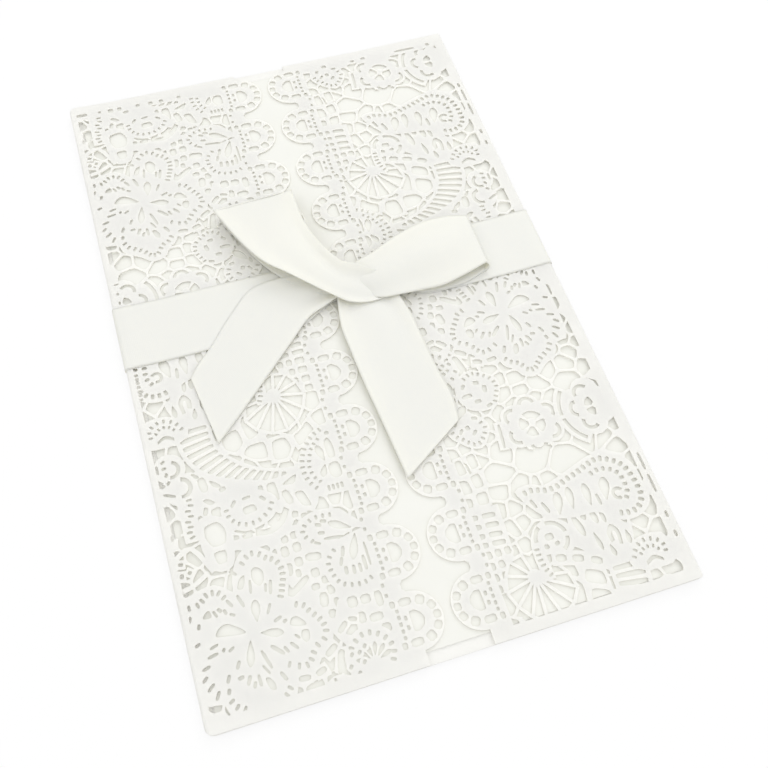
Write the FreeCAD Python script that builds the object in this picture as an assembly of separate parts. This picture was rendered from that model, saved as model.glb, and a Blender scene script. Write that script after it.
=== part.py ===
# Gate-fold wedding invitation: a laser cut lace card folded round a plain inner card,
# tied shut with one satin ribbon. Millimetres, lying flat on its back:
# X across the card, Y up the card, Z up, with Z = 0 under the ribbon where it crosses the back.
import FreeCAD
import Part
import math
import os

from FreeCAD import Vector

# Lace card: one sheet, folded at both long edges so that two flaps meet over its back panel.
card_width = 120.0
card_height = 185.0
sheet_thick = 0.3
folded_depth = 1.7
left_corner_radius = 2.0
right_corner_radius = 1.0
flap_gap = 2.4
flap_gap_shift = -0.9

# Inner card, loose on the back panel.
inner_card_thick = 0.35
inner_card_side_margin = 3.0
inner_card_end_margin = 3.0

# Scalloped edge of each flap: a column of round rosettes, cut off by a straight bar.
rosette_count = 11
rosette_radius = 6.9
rosette_depth = 11.0
rosette_top_margin = 8.6
rosette_bottom_margin = 10.4
rosette_rim = 1.2
rosette_ring = 2.4
rosette_cells = 4
rosette_spread = 126.0
rosette_eye_corners = 4
scallop_web_depth = 9.0

# Straight strip of ladder cells behind the rosettes.
bar_width = 1.0
ladder_width = 3.6
ladder_cells_per_rosette = 1.5

# Lace field between the fold and the ladder.
fold_margin = 2.5
end_margin = 3.5
strand = 0.8
lace_repeat = 126.0
right_flap_inset = 3.6
net_pitch = 8.4

# Motifs in one repeat of the lace: distances in from the fold and down from the repeat's start.
flower_centre = (14.6, 39.5)
petal_angles = (-71.0, 19.0, 101.0, 202.0)
petal_start = 1.6
petal_end = 8.2
petal_width = 3.2
slits_per_petal = 2
slit_heart = 7.4
slit_start = 2.8
slit_end = 7.2
slit_width = 1.5
slit_spread = 38.0
leaf_shoulder = 0.6
blossom_eye_share = 0.26
blossom_rim_share = 0.9
blossoms = [
    ((9.0, 95.4), 6.4, 7),
    ((20.5, 73.0), 6.5, 6),
    ((20.4, 12.4), 6.0, 5),
    ((34.5, 20.6), 5.8, 4),
    ((36.0, 33.6), 5.4, 4),
    ((31.4, 62.0), 5.8, 4),
    ((7.9, 71.0), 5.2, 4),
    ((8.2, 119.0), 5.4, 4),
]
half_blossom_drops = (5.8, 52.4)
half_blossom_inner = 2.2
half_blossom_outer = 6.8
half_blossom_cells = 3
crescent_centre = (34.0, 109.0)
crescent_inner = 20.0
crescent_outer = 24.0
crescent_cells = 8
crescent_turn = (92.0, 160.0)
garland_centre = (24.0, 72.6)
garland_inner = 15.6
garland_outer = 19.4
garland_cells = 5
garland_turn = (50.0, 112.0)
feather_width = 3.0
feather_leaves = [
    ((16.8, 98.6), (15.0, 111.0)),
    ((18.4, 97.7), (20.0, 110.0)),
    ((20.0, 96.8), (24.6, 106.6)),
    ((21.6, 95.9), (28.0, 101.8)),
]
star_centre = (34.5, 109.6)
star_rays = 6
star_turn = -170.0
ray_start = 1.8
ray_end = 7.6
ray_width = 3.2

# Satin ribbon.
ribbon_width = 19.0
ribbon_thick = 0.25
ribbon_clearance = 0.05
band_drop = -9.2
knot_x = 5.5
knot_length = 17.0
knot_width = 13.0
knot_height = 5.0
knot_corner = 3.0
knot_top_share = 0.6

# What follows from the sizes above.
card_bottom = ribbon_thick + ribbon_clearance
card_top = card_bottom + folded_depth
fold_radius = folded_depth / 2
fold_centre = card_bottom + fold_radius
flap_underside = card_top - sheet_thick
inner_card_bottom = card_bottom + sheet_thick
band_y = -band_drop
band_top = card_top + ribbon_clearance + ribbon_thick
rosette_span = card_height - rosette_top_margin - rosette_bottom_margin
rosette_pitch = rosette_span / (rosette_count - 1)
least_strand = 0.9 * strand
plate_start = fold_radius + strand
LEFT = -1
RIGHT = 1


# ---------------------------------------------------------------- plane geometry of the lace

def polar(centre, radius, degrees):
    """Point at an angle from the direction away from the fold, turning towards the bottom edge."""
    angle = math.radians(degrees)
    return (centre[0] + radius * math.cos(angle), centre[1] + radius * math.sin(angle))


def sector(centre, inner, outer, start, end):
    """Four-cornered cell of a ring, half a strand clear of the rays at both its sides."""
    closing = strand / 2 / math.sin(math.radians(end - start) / 2)
    inner = max(inner, closing * 1.1)
    inner_gap = math.degrees(math.asin(strand / 2 / inner))
    outer_gap = math.degrees(math.asin(strand / 2 / outer))
    return [polar(centre, inner, start + inner_gap), polar(centre, outer, start + outer_gap),
            polar(centre, outer, end - outer_gap), polar(centre, inner, end - inner_gap)]


def leaf(root, tip, width):
    """Four-cornered leaf from root to tip, widest past its middle."""
    along = (tip[0] - root[0], tip[1] - root[1])
    length = math.hypot(along[0], along[1])
    side = (-along[1] / length * width / 2, along[0] / length * width / 2)
    shoulder = (root[0] + leaf_shoulder * along[0], root[1] + leaf_shoulder * along[1])
    return [root, (shoulder[0] + side[0], shoulder[1] + side[1]),
            tip, (shoulder[0] - side[0], shoulder[1] - side[1])]


def regular(centre, radius, corners, turn):
    """Regular polygon cell."""
    return [polar(centre, radius, turn + 360.0 * i / corners) for i in range(corners)]


def ring_of_cells(centre, inner, outer, count, start, end):
    """Cells of a ring, one strand apart, between two angles."""
    step = (end - start) / count
    return [sector(centre, inner, outer, start + i * step, start + (i + 1) * step) for i in range(count)]


def segment_distance(a, b, c, d):
    """Least distance between two plane segments, zero where they cross."""
    def turn(p, q, r):
        return (q[0] - p[0]) * (r[1] - p[1]) - (q[1] - p[1]) * (r[0] - p[0])

    def to_segment(p, q, r):
        along = (r[0] - q[0], r[1] - q[1])
        size = along[0] ** 2 + along[1] ** 2
        share = ((p[0] - q[0]) * along[0] + (p[1] - q[1]) * along[1]) / size
        share = max(0.0, min(1.0, share))
        return math.hypot(p[0] - q[0] - share * along[0], p[1] - q[1] - share * along[1])

    if turn(a, b, c) * turn(a, b, d) < 0 and turn(c, d, a) * turn(c, d, b) < 0:
        return 0.0
    return min(to_segment(a, c, d), to_segment(b, c, d), to_segment(c, a, b), to_segment(d, a, b))


def middle_and_reach(cell):
    """Centre of a cell and the radius of a circle round it."""
    middle = (sum(p[0] for p in cell) / len(cell), sum(p[1] for p in cell) / len(cell))
    return middle, max(math.hypot(p[0] - middle[0], p[1] - middle[1]) for p in cell)


def holds(cell, point):
    """True where the point lies inside the cell."""
    inside = False
    for i, (u, v) in enumerate(cell):
        before_u, before_v = cell[i - 1]
        if (v > point[1]) != (before_v > point[1]):
            crossing = u + (point[1] - v) / (before_v - v) * (before_u - u)
            if point[0] < crossing:
                inside = not inside
    return inside


def keeps_strand(cell, placed):
    """True where a strand of paper is left between the new cell and every placed one."""
    middle, reach = middle_and_reach(cell)
    for other, other_middle, other_reach in placed:
        apart = math.hypot(middle[0] - other_middle[0], middle[1] - other_middle[1])
        if apart >= reach + other_reach + strand:
            continue
        if holds(other, middle) or holds(cell, other_middle):
            return False
        for i, corner in enumerate(cell):
            for j, other_corner in enumerate(other):
                near = segment_distance(cell[i - 1], corner, other[j - 1], other_corner)
                if near < least_strand:
                    return False
    return True


# ---------------------------------------------------------------- the lace openings of one flap

def rosette_cells_at(tip, v):
    """Ring of cells and the open middle of one rosette."""
    centre = (tip - rosette_radius, v)
    outer = rosette_radius - rosette_rim
    inner = outer - rosette_ring
    cells = ring_of_cells(centre, inner, outer, rosette_cells, -rosette_spread, rosette_spread)
    eye = inner * math.cos(math.radians(rosette_spread / rosette_cells)) - strand
    cells.append(regular(centre, eye, rosette_eye_corners, 0.0))
    return cells


def flower():
    """Four-petalled flower: a large leaf opening and a fan of slits in each petal."""
    cells = []
    for angle in petal_angles:
        start = polar(flower_centre, petal_start, angle)
        cells.append(leaf(start, polar(flower_centre, petal_end, angle), petal_width))
    for angle in petal_angles:
        heart = polar(flower_centre, slit_heart, angle)
        for i in range(slits_per_petal):
            turn = angle + slit_spread * (i - (slits_per_petal - 1) / 2)
            cells.append(leaf(polar(heart, slit_start, turn), polar(heart, slit_end, turn), slit_width))
    return cells


def star():
    """Rays round a centre beside the ladder."""
    turns = [star_turn + i * 360.0 / star_rays for i in range(star_rays)]
    return [leaf(polar(star_centre, ray_start, turn), polar(star_centre, ray_end, turn), ray_width)
            for turn in turns]


def repeat_cells(ladder_side):
    """All openings of one repeat of the lace, in order of importance."""
    cells = flower()
    cells += ring_of_cells(crescent_centre, crescent_inner, crescent_outer, crescent_cells, *crescent_turn)
    cells += ring_of_cells(garland_centre, garland_inner, garland_outer, garland_cells, *garland_turn)
    cells += [leaf(root, tip, feather_width) for root, tip in feather_leaves]
    cells += star()
    for centre, radius, petals in blossoms:
        eye = radius * blossom_eye_share
        cells += ring_of_cells(centre, eye, radius * blossom_rim_share, petals, 0.0, 360.0)
    for drop in half_blossom_drops:
        centre = (ladder_side, drop)
        cells += ring_of_cells(centre, half_blossom_inner, half_blossom_outer, half_blossom_cells, 90.0, 270.0)
    return cells


def net_centres(end):
    """Centres of an open honeycomb over the whole field."""
    row_height = net_pitch * math.sqrt(3) / 2
    rows = int(card_height / row_height) + 1
    columns = int(end / net_pitch) + 1
    return [(fold_margin + (i + 0.5 + 0.5 * (j % 2)) * net_pitch, end_margin + (j + 0.5) * row_height)
            for j in range(rows) for i in range(columns)]


def flap_openings(reach, inset, phase):
    """Every opening of one flap, measured in from its fold and down from the top edge."""
    bar = reach - rosette_depth
    ladder_end = bar - bar_width
    ladder_start = ladder_end - ladder_width
    field = (fold_margin, end_margin, ladder_start - strand, card_height - end_margin)
    placed = []

    def place(cell):
        if keeps_strand(cell, placed):
            placed.append((cell,) + middle_and_reach(cell))

    for i in range(rosette_count):
        for cell in rosette_cells_at(reach, rosette_top_margin + i * rosette_pitch):
            place(cell)
    rung = rosette_pitch / ladder_cells_per_rosette
    rungs = int((card_height - 2 * end_margin) / rung)
    for i in range(rungs):
        top = end_margin + i * rung
        bottom = top + rung - strand
        place([(ladder_start, top), (ladder_end, top), (ladder_end, bottom), (ladder_start, bottom)])

    def in_field(cell):
        return all(field[0] <= u <= field[2] and field[1] <= v <= field[3] for u, v in cell)

    for start in (phase - lace_repeat, phase, phase + lace_repeat):
        for cell in repeat_cells(ladder_start - strand - inset):
            moved = [(u + inset, v + start) for u, v in cell]
            if in_field(moved):
                place(moved)
    for centre in net_centres(ladder_start):
        cell = regular(centre, (net_pitch - strand) / math.sqrt(3), 6, 30.0)
        if in_field(cell):
            place(cell)
    return [cell for cell, middle, size in placed]


# ---------------------------------------------------------------- the folded lace card

def on_card(side, u, v, z):
    """Point given by its distance in from one fold and down from the top edge."""
    return Vector(side * (card_width / 2 - u), card_height / 2 - v, z)


def flap_outline(side, reach):
    """Flap edge: straight on three sides, one round scallop for each rosette on the fourth."""
    web = reach - scallop_web_depth
    half_chord = math.sqrt(rosette_radius ** 2 - (web - reach + rosette_radius) ** 2)
    edges = []
    corner = on_card(side, plate_start, 0.0, flap_underside)
    here = on_card(side, web, 0.0, flap_underside)
    edges.append(Part.makeLine(corner, here))
    for i in range(rosette_count):
        v = rosette_top_margin + i * rosette_pitch
        above = on_card(side, web, v - half_chord, flap_underside)
        tip = on_card(side, reach, v, flap_underside)
        below = on_card(side, web, v + half_chord, flap_underside)
        edges.append(Part.makeLine(here, above))
        edges.append(Part.Arc(above, tip, below).toShape())
        here = below
    end = on_card(side, web, card_height, flap_underside)
    last = on_card(side, plate_start, card_height, flap_underside)
    edges.append(Part.makeLine(here, end))
    edges.append(Part.makeLine(end, last))
    edges.append(Part.makeLine(last, corner))
    return Part.Wire(edges)


def flap(side, reach, inset, phase):
    """Flat lace plate of one flap."""
    wires = [flap_outline(side, reach)]
    for cell in flap_openings(reach, inset, phase):
        corners = [on_card(side, u, v, flap_underside) for u, v in cell]
        wires.append(Part.makePolygon(corners + corners[:1]))
    face = Part.makeFace(wires, "Part::FaceMakerBullseye")
    return face.extrude(Vector(0, 0, sheet_thick))


def back_and_folds():
    """Back panel with both rounded folds and the start of each flap, as one bent section."""
    side = card_width / 2 - fold_radius
    start = card_width / 2 - plate_start
    inner_bottom = card_bottom + sheet_thick
    inner_radius = fold_radius - sheet_thick

    def at(x, z):
        return Vector(x, -card_height / 2, z)

    def bend(end, radius, first, last):
        return Part.Arc(at(end * side, first), at(end * (side + radius), fold_centre),
                        at(end * side, last)).toShape()

    edges = [
        Part.makeLine(at(-side, card_bottom), at(side, card_bottom)),
        bend(RIGHT, fold_radius, card_bottom, card_top),
        Part.makeLine(at(side, card_top), at(start, card_top)),
        Part.makeLine(at(start, card_top), at(start, flap_underside)),
        Part.makeLine(at(start, flap_underside), at(side, flap_underside)),
        bend(RIGHT, inner_radius, flap_underside, inner_bottom),
        Part.makeLine(at(side, inner_bottom), at(-side, inner_bottom)),
        bend(LEFT, inner_radius, inner_bottom, flap_underside),
        Part.makeLine(at(-side, flap_underside), at(-start, flap_underside)),
        Part.makeLine(at(-start, flap_underside), at(-start, card_top)),
        Part.makeLine(at(-start, card_top), at(-side, card_top)),
        bend(LEFT, fold_radius, card_top, card_bottom),
    ]
    return Part.Face(Part.Wire(edges)).extrude(Vector(0, card_height, 0))


def rounded_corner_block():
    """Block of the card's plan, with its corners rounded."""
    block = Part.makeBox(card_width, card_height, folded_depth,
                         Vector(-card_width / 2, -card_height / 2, card_bottom))
    for side, radius in ((LEFT, left_corner_radius), (RIGHT, right_corner_radius)):
        corners = [edge for edge in block.Edges
                   if abs(edge.BoundBox.ZLength - folded_depth) < 0.01
                   and edge.CenterOfMass.x * side > card_width / 4]
        block = block.makeFillet(radius, corners)
    return block


def lace_wrap():
    """The whole folded lace card."""
    left_reach = card_width / 2 + flap_gap_shift - flap_gap / 2
    right_reach = card_width / 2 - flap_gap_shift - flap_gap / 2
    left = flap(LEFT, left_reach, 0.0, 0.0)
    right = flap(RIGHT, right_reach, right_flap_inset, -lace_repeat / 2)
    card = back_and_folds().multiFuse([left, right]).removeSplitter()
    return card.common(rounded_corner_block())


def inner_card():
    """Plain card lying on the back panel."""
    width = card_width - 2 * inner_card_side_margin
    height = card_height - 2 * inner_card_end_margin
    return Part.makeBox(width, height, inner_card_thick, Vector(-width / 2, -height / 2, inner_card_bottom))


# ---------------------------------------------------------------- the ribbon

def stadium(clearance):
    """Wire round the folded card, the given clearance outside it."""
    side = card_width / 2 - fold_radius
    low = card_bottom - clearance
    high = card_top + clearance
    reach = side + fold_radius + clearance
    y = band_y - ribbon_width / 2

    return Part.Wire([
        Part.makeLine(Vector(-side, y, low), Vector(side, y, low)),
        Part.Arc(Vector(side, y, low), Vector(reach, y, fold_centre), Vector(side, y, high)).toShape(),
        Part.makeLine(Vector(side, y, high), Vector(-side, y, high)),
        Part.Arc(Vector(-side, y, high), Vector(-reach, y, fold_centre), Vector(-side, y, low)).toShape(),
    ])


def band():
    """Ribbon all round the folded card."""
    wires = [stadium(ribbon_clearance + ribbon_thick), stadium(ribbon_clearance)]
    return Part.makeFace(wires, "Part::FaceMakerBullseye").extrude(Vector(0, ribbon_width, 0))


def knot():
    """Soft knot on top of the band, with cut corners and a narrower top."""
    base = band_top - ribbon_thick / 2

    def octagon(share, z):
        x = knot_length / 2 * share
        y = knot_width / 2 * share
        cut = knot_corner * share
        plan = [(x - cut, -y), (x, cut - y), (x, y - cut), (x - cut, y),
                (cut - x, y), (-x, y - cut), (-x, cut - y), (cut - x, -y)]
        corners = [Vector(knot_x + dx, band_y + dy, z) for dx, dy in plan]
        return Part.makePolygon(corners + corners[:1])

    sections = [octagon(1.0, base), octagon(1.0, base + knot_height / 2),
                octagon(knot_top_share, base + knot_height)]
    return Part.makeLoft(sections, True, True)


def facet(a, b, c):
    """Flat triangle."""
    return Part.Face(Part.makePolygon([a, b, c, a]))


def strip(rows):
    """Ribbon strip through rows of (left, right) points, square in section and faceted."""
    sections = []
    middles = [(left + right) * 0.5 for left, right in rows]
    for i, (left, right) in enumerate(rows):
        along = middles[min(i + 1, len(rows) - 1)] - middles[max(i - 1, 0)]
        rise = along.cross(right - left).normalize() * (ribbon_thick / 2)
        sections.append([left + rise, right + rise, right - rise, left - rise])
    first = sections[0]
    last = sections[-1]
    faces = [facet(first[0], first[1], first[2]), facet(first[0], first[2], first[3]),
             facet(last[0], last[2], last[1]), facet(last[0], last[3], last[2])]
    for before, after in zip(sections, sections[1:]):
        for i in range(4):
            faces.append(facet(before[i - 1], after[i - 1], after[i]))
            faces.append(facet(before[i - 1], after[i], before[i]))
    solid = Part.makeSolid(Part.makeShell(faces))
    if solid.Volume < 0:
        solid.reverse()
    return solid


def from_knot(dx, dy, height):
    """Point given from the middle of the knot and up from the top of the card."""
    return Vector(knot_x + dx, band_y + dy, card_top + ribbon_clearance + ribbon_thick / 2 + height)


def tail(rows):
    """One loose end."""
    return strip([(from_knot(*left), from_knot(*right)) for left, right in rows])


def bow_loop(rows, end_steps):
    """One loop: out along the lower rows, round its end and back along the upper ones."""
    lower = [(from_knot(*(left + (low,))), from_knot(*(right + (low,)))) for left, right, low, high in rows]
    upper = [(from_knot(*(left + (high,))), from_knot(*(right + (high,)))) for left, right, low, high in rows]
    before = (lower[-2][0] + lower[-2][1]) * 0.5
    last = (lower[-1][0] + lower[-1][1]) * 0.5
    outward = Vector(last.x - before.x, last.y - before.y, 0).normalize()
    radius = (upper[-1][0].z - lower[-1][0].z) / 2
    turn = []
    for i in range(1, end_steps):
        angle = math.pi * i / end_steps
        shift = outward * (radius * math.sin(angle)) + Vector(0, 0, radius * (1 - math.cos(angle)))
        turn.append((lower[-1][0] + shift, lower[-1][1] + shift))
    return strip(lower + turn + upper[::-1])


def ribbon():
    """Band, knot, two loops and two tails, all one length of satin."""
    left_tail = tail([
        ((-3.0, 1.5, 2.6), (-3.0, -3.0, 2.6)),
        ((-15.0, 6.5, 1.6), (-11.8, -4.4, 1.6)),
        ((-27.5, 7.6, 0.45), (-15.8, -6.0, 0.6)),
        ((-36.0, -0.4, 0.45), (-24.0, -13.6, 0.2)),
        ((-44.5, -8.9, 0.35), (-32.0, -21.0, 0.1)),
        ((-50.0, -14.8, 0.15), (-47.3, -34.8, 0.1)),
    ])
    right_tail = tail([
        ((-5.5, -1.5, 2.6), (6.5, -2.5, 2.6)),
        ((-8.6, -9.2, 1.3), (9.7, -8.0, 1.3)),
        ((-8.4, -17.0, 0.2), (11.4, -17.0, 0.4)),
        ((-7.7, -27.0, 0.1), (12.1, -28.0, 0.1)),
        ((-5.0, -57.0, 0.1), (12.5, -45.5, 0.1)),
    ])
    upper_loop = bow_loop([
        ((-5.0, -2.0), (1.0, 4.0), 1.6, 3.6),
        ((-12.5, 0.0), (-4.0, 9.0), 1.6, 5.6),
        ((-20.0, 6.0), (-6.5, 16.0), 1.1, 6.6),
        ((-27.0, 17.5), (-8.5, 24.5), 0.7, 6.2),
        ((-31.0, 29.0), (-10.0, 31.0), 0.6, 4.2),
    ], 5)
    right_loop = bow_loop([
        ((4.5, -3.5), (2.5, 4.5), 1.6, 3.4),
        ((12.0, -8.0), (11.0, 9.5), 0.7, 4.4),
        ((22.5, -8.8), (22.5, 13.2), 0.5, 4.2),
        ((34.0, -6.0), (33.0, 13.5), 0.5, 3.2),
    ], 5)
    return band().multiFuse([knot(), left_tail, right_tail, upper_loop, right_loop])


nodes = {
    "lace_wrap": lace_wrap(),
    "inner_card": inner_card(),
    "ribbon": ribbon(),
}

os.makedirs("parts", exist_ok=True)
for name, shape in nodes.items():
    shape.exportStep("parts/" + name + ".step")
    print(name, "solids", len(shape.Solids), "valid", shape.isValid(), "volume", round(shape.Volume, 1))
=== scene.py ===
import math
import random

import bpy
import numpy as np
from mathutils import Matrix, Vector
from mathutils.geometry import delaunay_2d_cdt


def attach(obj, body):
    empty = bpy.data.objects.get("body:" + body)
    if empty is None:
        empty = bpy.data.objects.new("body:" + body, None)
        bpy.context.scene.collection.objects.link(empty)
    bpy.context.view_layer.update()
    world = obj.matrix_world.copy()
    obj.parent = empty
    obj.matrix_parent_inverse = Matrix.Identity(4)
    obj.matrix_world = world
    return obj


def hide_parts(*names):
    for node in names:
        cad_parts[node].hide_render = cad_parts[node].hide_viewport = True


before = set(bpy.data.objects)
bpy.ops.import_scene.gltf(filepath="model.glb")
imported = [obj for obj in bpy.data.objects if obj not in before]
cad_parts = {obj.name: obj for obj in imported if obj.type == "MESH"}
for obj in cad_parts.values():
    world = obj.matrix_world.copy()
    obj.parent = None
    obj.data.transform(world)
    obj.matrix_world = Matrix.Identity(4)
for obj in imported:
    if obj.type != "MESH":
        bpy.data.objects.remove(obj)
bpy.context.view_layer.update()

# Sizes of the part, in mm, as its CAD source has them.
CARD_WIDTH = 120.0
CARD_HEIGHT = 185.0
SHEET = 0.3
CARD_BOTTOM = 0.3
FOLD_RADIUS = 0.85
LEFT_CORNER = 2.0
RIGHT_CORNER = 1.0
LEFT_REACH = 57.9
RIGHT_REACH = 59.7
CARD_TOP = 2.0
BAND_Y = 9.2
KNOT_X = 5.5
RIBBON_WIDTH = 19.0
RIBBON_THICK = 0.25
RIBBON_CLEARANCE = 0.05

# Lace layout.
REPEAT = 126.0
ROSETTES = 11
ROSETTE_TOP = 8.6
ROSETTE_STEP = 16.6
RIGHT_INSET = 3.6
RIGHT_PHASE = 62.9
# Points between two given ones, on the sides of a ladder and round a patch.
LADDER_STEPS = 8
PATCH_STEPS = 3

# ------------------------------------------------------------------ plane curves for the lace, in mm
# Lace points are (distance in from the fold, distance down from the top edge), in millimetres.

def polar(centre, radius, degrees):
    """Point at an angle from the direction away from the fold, turning towards the bottom edge."""
    angle = math.radians(degrees)
    return (centre[0] + radius * math.cos(angle), centre[1] + radius * math.sin(angle))


def smooth(points, steps=6, closed=False):
    """Catmull-Rom curve through a few points."""
    count = len(points)
    spans = count if closed else count - 1
    curve = []
    for i in range(spans):
        if closed:
            p0, p1, p2, p3 = (points[(i + k - 1) % count] for k in range(4))
        else:
            p0, p1, p2, p3 = points[max(i - 1, 0)], points[i], points[i + 1], points[min(i + 2, count - 1)]
        for k in range(steps):
            t = k / steps
            curve.append(tuple(
                0.5 * (2 * b + (c - a) * t + (2 * a - 5 * b + 4 * c - d) * t * t
                       + (3 * b - a - 3 * c + d) * t ** 3)
                for a, b, c, d in zip(p0, p1, p2, p3)))
    if not closed:
        curve.append(tuple(points[-1]))
    return curve


def along(curve, distance):
    """Point and direction at a distance along a curve."""
    for a, b in zip(curve, curve[1:]):
        step = math.hypot(b[0] - a[0], b[1] - a[1])
        if distance <= step or b is curve[-1]:
            t = distance / step if step else 0.0
            point = (a[0] + t * (b[0] - a[0]), a[1] + t * (b[1] - a[1]))
            return point, math.degrees(math.atan2(b[1] - a[1], b[0] - a[0]))
        distance -= step
    return curve[-1], 0.0


def length_of(curve):
    """Length of a curve."""
    return sum(math.hypot(b[0] - a[0], b[1] - a[1]) for a, b in zip(curve, curve[1:]))


def arc(centre, radius, start, end, steps=12):
    """Points along an arc."""
    return [polar(centre, radius, start + (end - start) * i / steps) for i in range(steps + 1)]


def rounded(corners, share=0.28):
    """Polygon with each corner eased by three points."""
    result = []
    for i, corner in enumerate(corners):
        before = corners[i - 1]
        after = corners[(i + 1) % len(corners)]
        a = tuple(c + share * (b - c) for c, b in zip(corner, before))
        b = tuple(c + share * (d - c) for c, d in zip(corner, after))
        middle = tuple(0.25 * p + 0.5 * q + 0.25 * r for p, q, r in zip(a, corner, b))
        result += [a, middle, b]
    return result


# ------------------------------------------------------------------ holes and strips of the lace

class Lace:
    """Ordered list of shapes: each adds paper or cuts it away, and the last one at a point decides."""

    def __init__(self):
        self.shapes = []

    def paper(self, outline):
        """Adds paper."""
        self.shapes.append((True, outline))

    def cut(self, outline):
        """Cuts a hole."""
        self.shapes.append((False, outline))

    def disc(self, centre, radius, corners=20):
        """Round patch of paper."""
        self.paper([polar(centre, radius, 360.0 * i / corners) for i in range(corners)])

    def strip(self, points, width, steps=6):
        """Paper strand of even width along a smooth curve."""
        curve = smooth(points, steps)
        sides = ([], [])
        for i, point in enumerate(curve):
            a = curve[max(i - 1, 0)]
            b = curve[min(i + 1, len(curve) - 1)]
            size = math.hypot(b[0] - a[0], b[1] - a[1])
            normal = (-(b[1] - a[1]) / size * width / 2, (b[0] - a[0]) / size * width / 2)
            sides[0].append((point[0] + normal[0], point[1] + normal[1]))
            sides[1].append((point[0] - normal[0], point[1] - normal[1]))
        self.paper(sides[0] + sides[1][::-1])

    def bead(self, centre, degrees, across, wide):
        """Small hole: across is its size square to the given direction, wide its size along it."""
        direction = math.radians(degrees)
        x, y = math.cos(direction), math.sin(direction)
        plan = [(-0.5, -0.28), (-0.28, -0.5), (0.28, -0.5), (0.5, -0.28),
                (0.5, 0.28), (0.28, 0.5), (-0.28, 0.5), (-0.5, 0.28)]
        self.cut([(centre[0] + a * wide * x - b * across * y, centre[1] + a * wide * y + b * across * x)
                  for a, b in plan])

    def beads(self, curve, pitch, across, wide):
        """Row of small holes along a curve."""
        total = length_of(curve)
        count = max(1, int(round(total / pitch)))
        for i in range(count):
            point, degrees = along(curve, (i + 0.5) * total / count)
            self.bead(point, degrees, across, wide)

    def eye(self, root, tip, width):
        """Leaf-shaped hole from root to tip, fullest past its middle."""
        ax, ay = tip[0] - root[0], tip[1] - root[1]
        size = math.hypot(ax, ay)
        nx, ny = -ay / size * width / 2, ax / size * width / 2
        plan = [(0.0, 0.12), (0.2, 0.5), (0.45, 0.9), (0.7, 1.0), (0.9, 0.66), (1.0, 0.2)]
        plan += [(t, -s) for t, s in reversed(plan)]
        self.cut([(root[0] + t * ax + s * nx, root[1] + t * ay + s * ny) for t, s in plan])

    def fan(self, root, start, end, first, last, count, width):
        """Slits that spread from a root."""
        for i in range(count):
            turn = first + (last - first) * (i / (count - 1) if count > 1 else 0.5)
            self.eye(polar(root, start, turn), polar(root, end, turn), width)

    def wedge(self, centre, inner, outer, first, last):
        """Cell of a ring, with eased corners."""
        middle = (first + last) / 2
        self.cut(rounded([polar(centre, inner, first), polar(centre, outer, first),
                          polar(centre, outer * 1.03, middle), polar(centre, outer, last),
                          polar(centre, inner, last)], 0.22))

    def ladder(self, near, far, count, strand=0.75):
        """Cells between two curves, one rung apart."""
        near = smooth(near, LADDER_STEPS)
        far = smooth(far, LADDER_STEPS)
        near_size, far_size = length_of(near), length_of(far)

        def side(curve, size, share):
            return along(curve, size * share)[0]

        for i in range(count):
            rung = strand / ((near_size + far_size) / 2)
            a, b = i / count + rung / 2, (i + 1) / count - rung / 2
            corners = [side(near, near_size, a), side(far, far_size, a),
                       side(far, far_size, b), side(near, near_size, b)]
            self.cut(rounded(corners, 0.2))

    def patch(self, points):
        """Hole with a smooth outline through a few points."""
        self.cut(smooth(points, PATCH_STEPS, closed=True))

    def cell(self, *corners):
        """Straight-sided hole with eased corners."""
        self.cut(rounded(list(corners)))


def inside(points, outline):
    """Which of many points lie inside an outline."""
    x, y = points[:, 0], points[:, 1]
    hit = np.zeros(len(points), bool)
    ox, oy = outline[:, 0], outline[:, 1]
    for i in range(len(outline)):
        x1, y1, x2, y2 = ox[i - 1], oy[i - 1], ox[i], oy[i]
        if y1 == y2:
            continue
        crosses = (y1 > y) != (y2 > y)
        hit ^= crosses & (x < x1 + (y - y1) / (y2 - y1) * (x2 - x1))
    return hit


# ------------------------------------------------------------------ the open net between the motifs

NET_SPACING = 4.0
# Where the net is finer or wider: (centre, radius, spacing).
NET_REGIONS = [
    ((31.0, 29.0), 8.0, 2.9), ((36.0, 42.0), 7.5, 3.0), ((42.0, 104.0), 6.5, 2.5), ((43.0, 98.0), 4.0, 2.5),
    ((12.0, 86.0), 7.0, 8.0), ((21.0, 83.0), 10.0, 8.4), ((31.0, 82.0), 6.0, 5.0),
               ((30.0, 119.0), 11.0, 6.2), ((41.0, 117.0), 6.0, 5.5),
    ((12.0, 20.0), 6.5, 6.4), ((33.0, 8.0), 6.0, 3.4), ((28.0, 50.0), 6.0, 4.0), ((8.0, 62.0), 7.0, 5.5),
]
NET_STRAND = 0.62
NET_RIM = 46.2
# Start of the random draws that scatter the net, and how many places are tried.
NET_DRAWS = 11
NET_TRIES = 9000


def net_spacing(u, v):
    """Size of the net's cells near a point."""
    for (cu, cv), radius, spacing in NET_REGIONS:
        dv = (v - cv + REPEAT / 2) % REPEAT - REPEAT / 2
        if math.hypot(u - cu, dv) < radius:
            return spacing
    return NET_SPACING


def net_seeds():
    """Scattered cell centres over one repeat, spaced as the net asks."""
    chance = random.Random(NET_DRAWS)
    seeds = []
    for _ in range(NET_TRIES):
        u = chance.uniform(-3.0, NET_RIM + 3.0)
        v = chance.uniform(0.0, REPEAT)
        room = net_spacing(u, v)
        clear = True
        for su, sv in seeds:
            dv = abs(v - sv)
            dv = min(dv, REPEAT - dv)
            if abs(u - su) < room and math.hypot(u - su, dv) < room * 0.86:
                clear = False
                break
        if clear:
            seeds.append((u, v))
    return seeds


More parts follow.
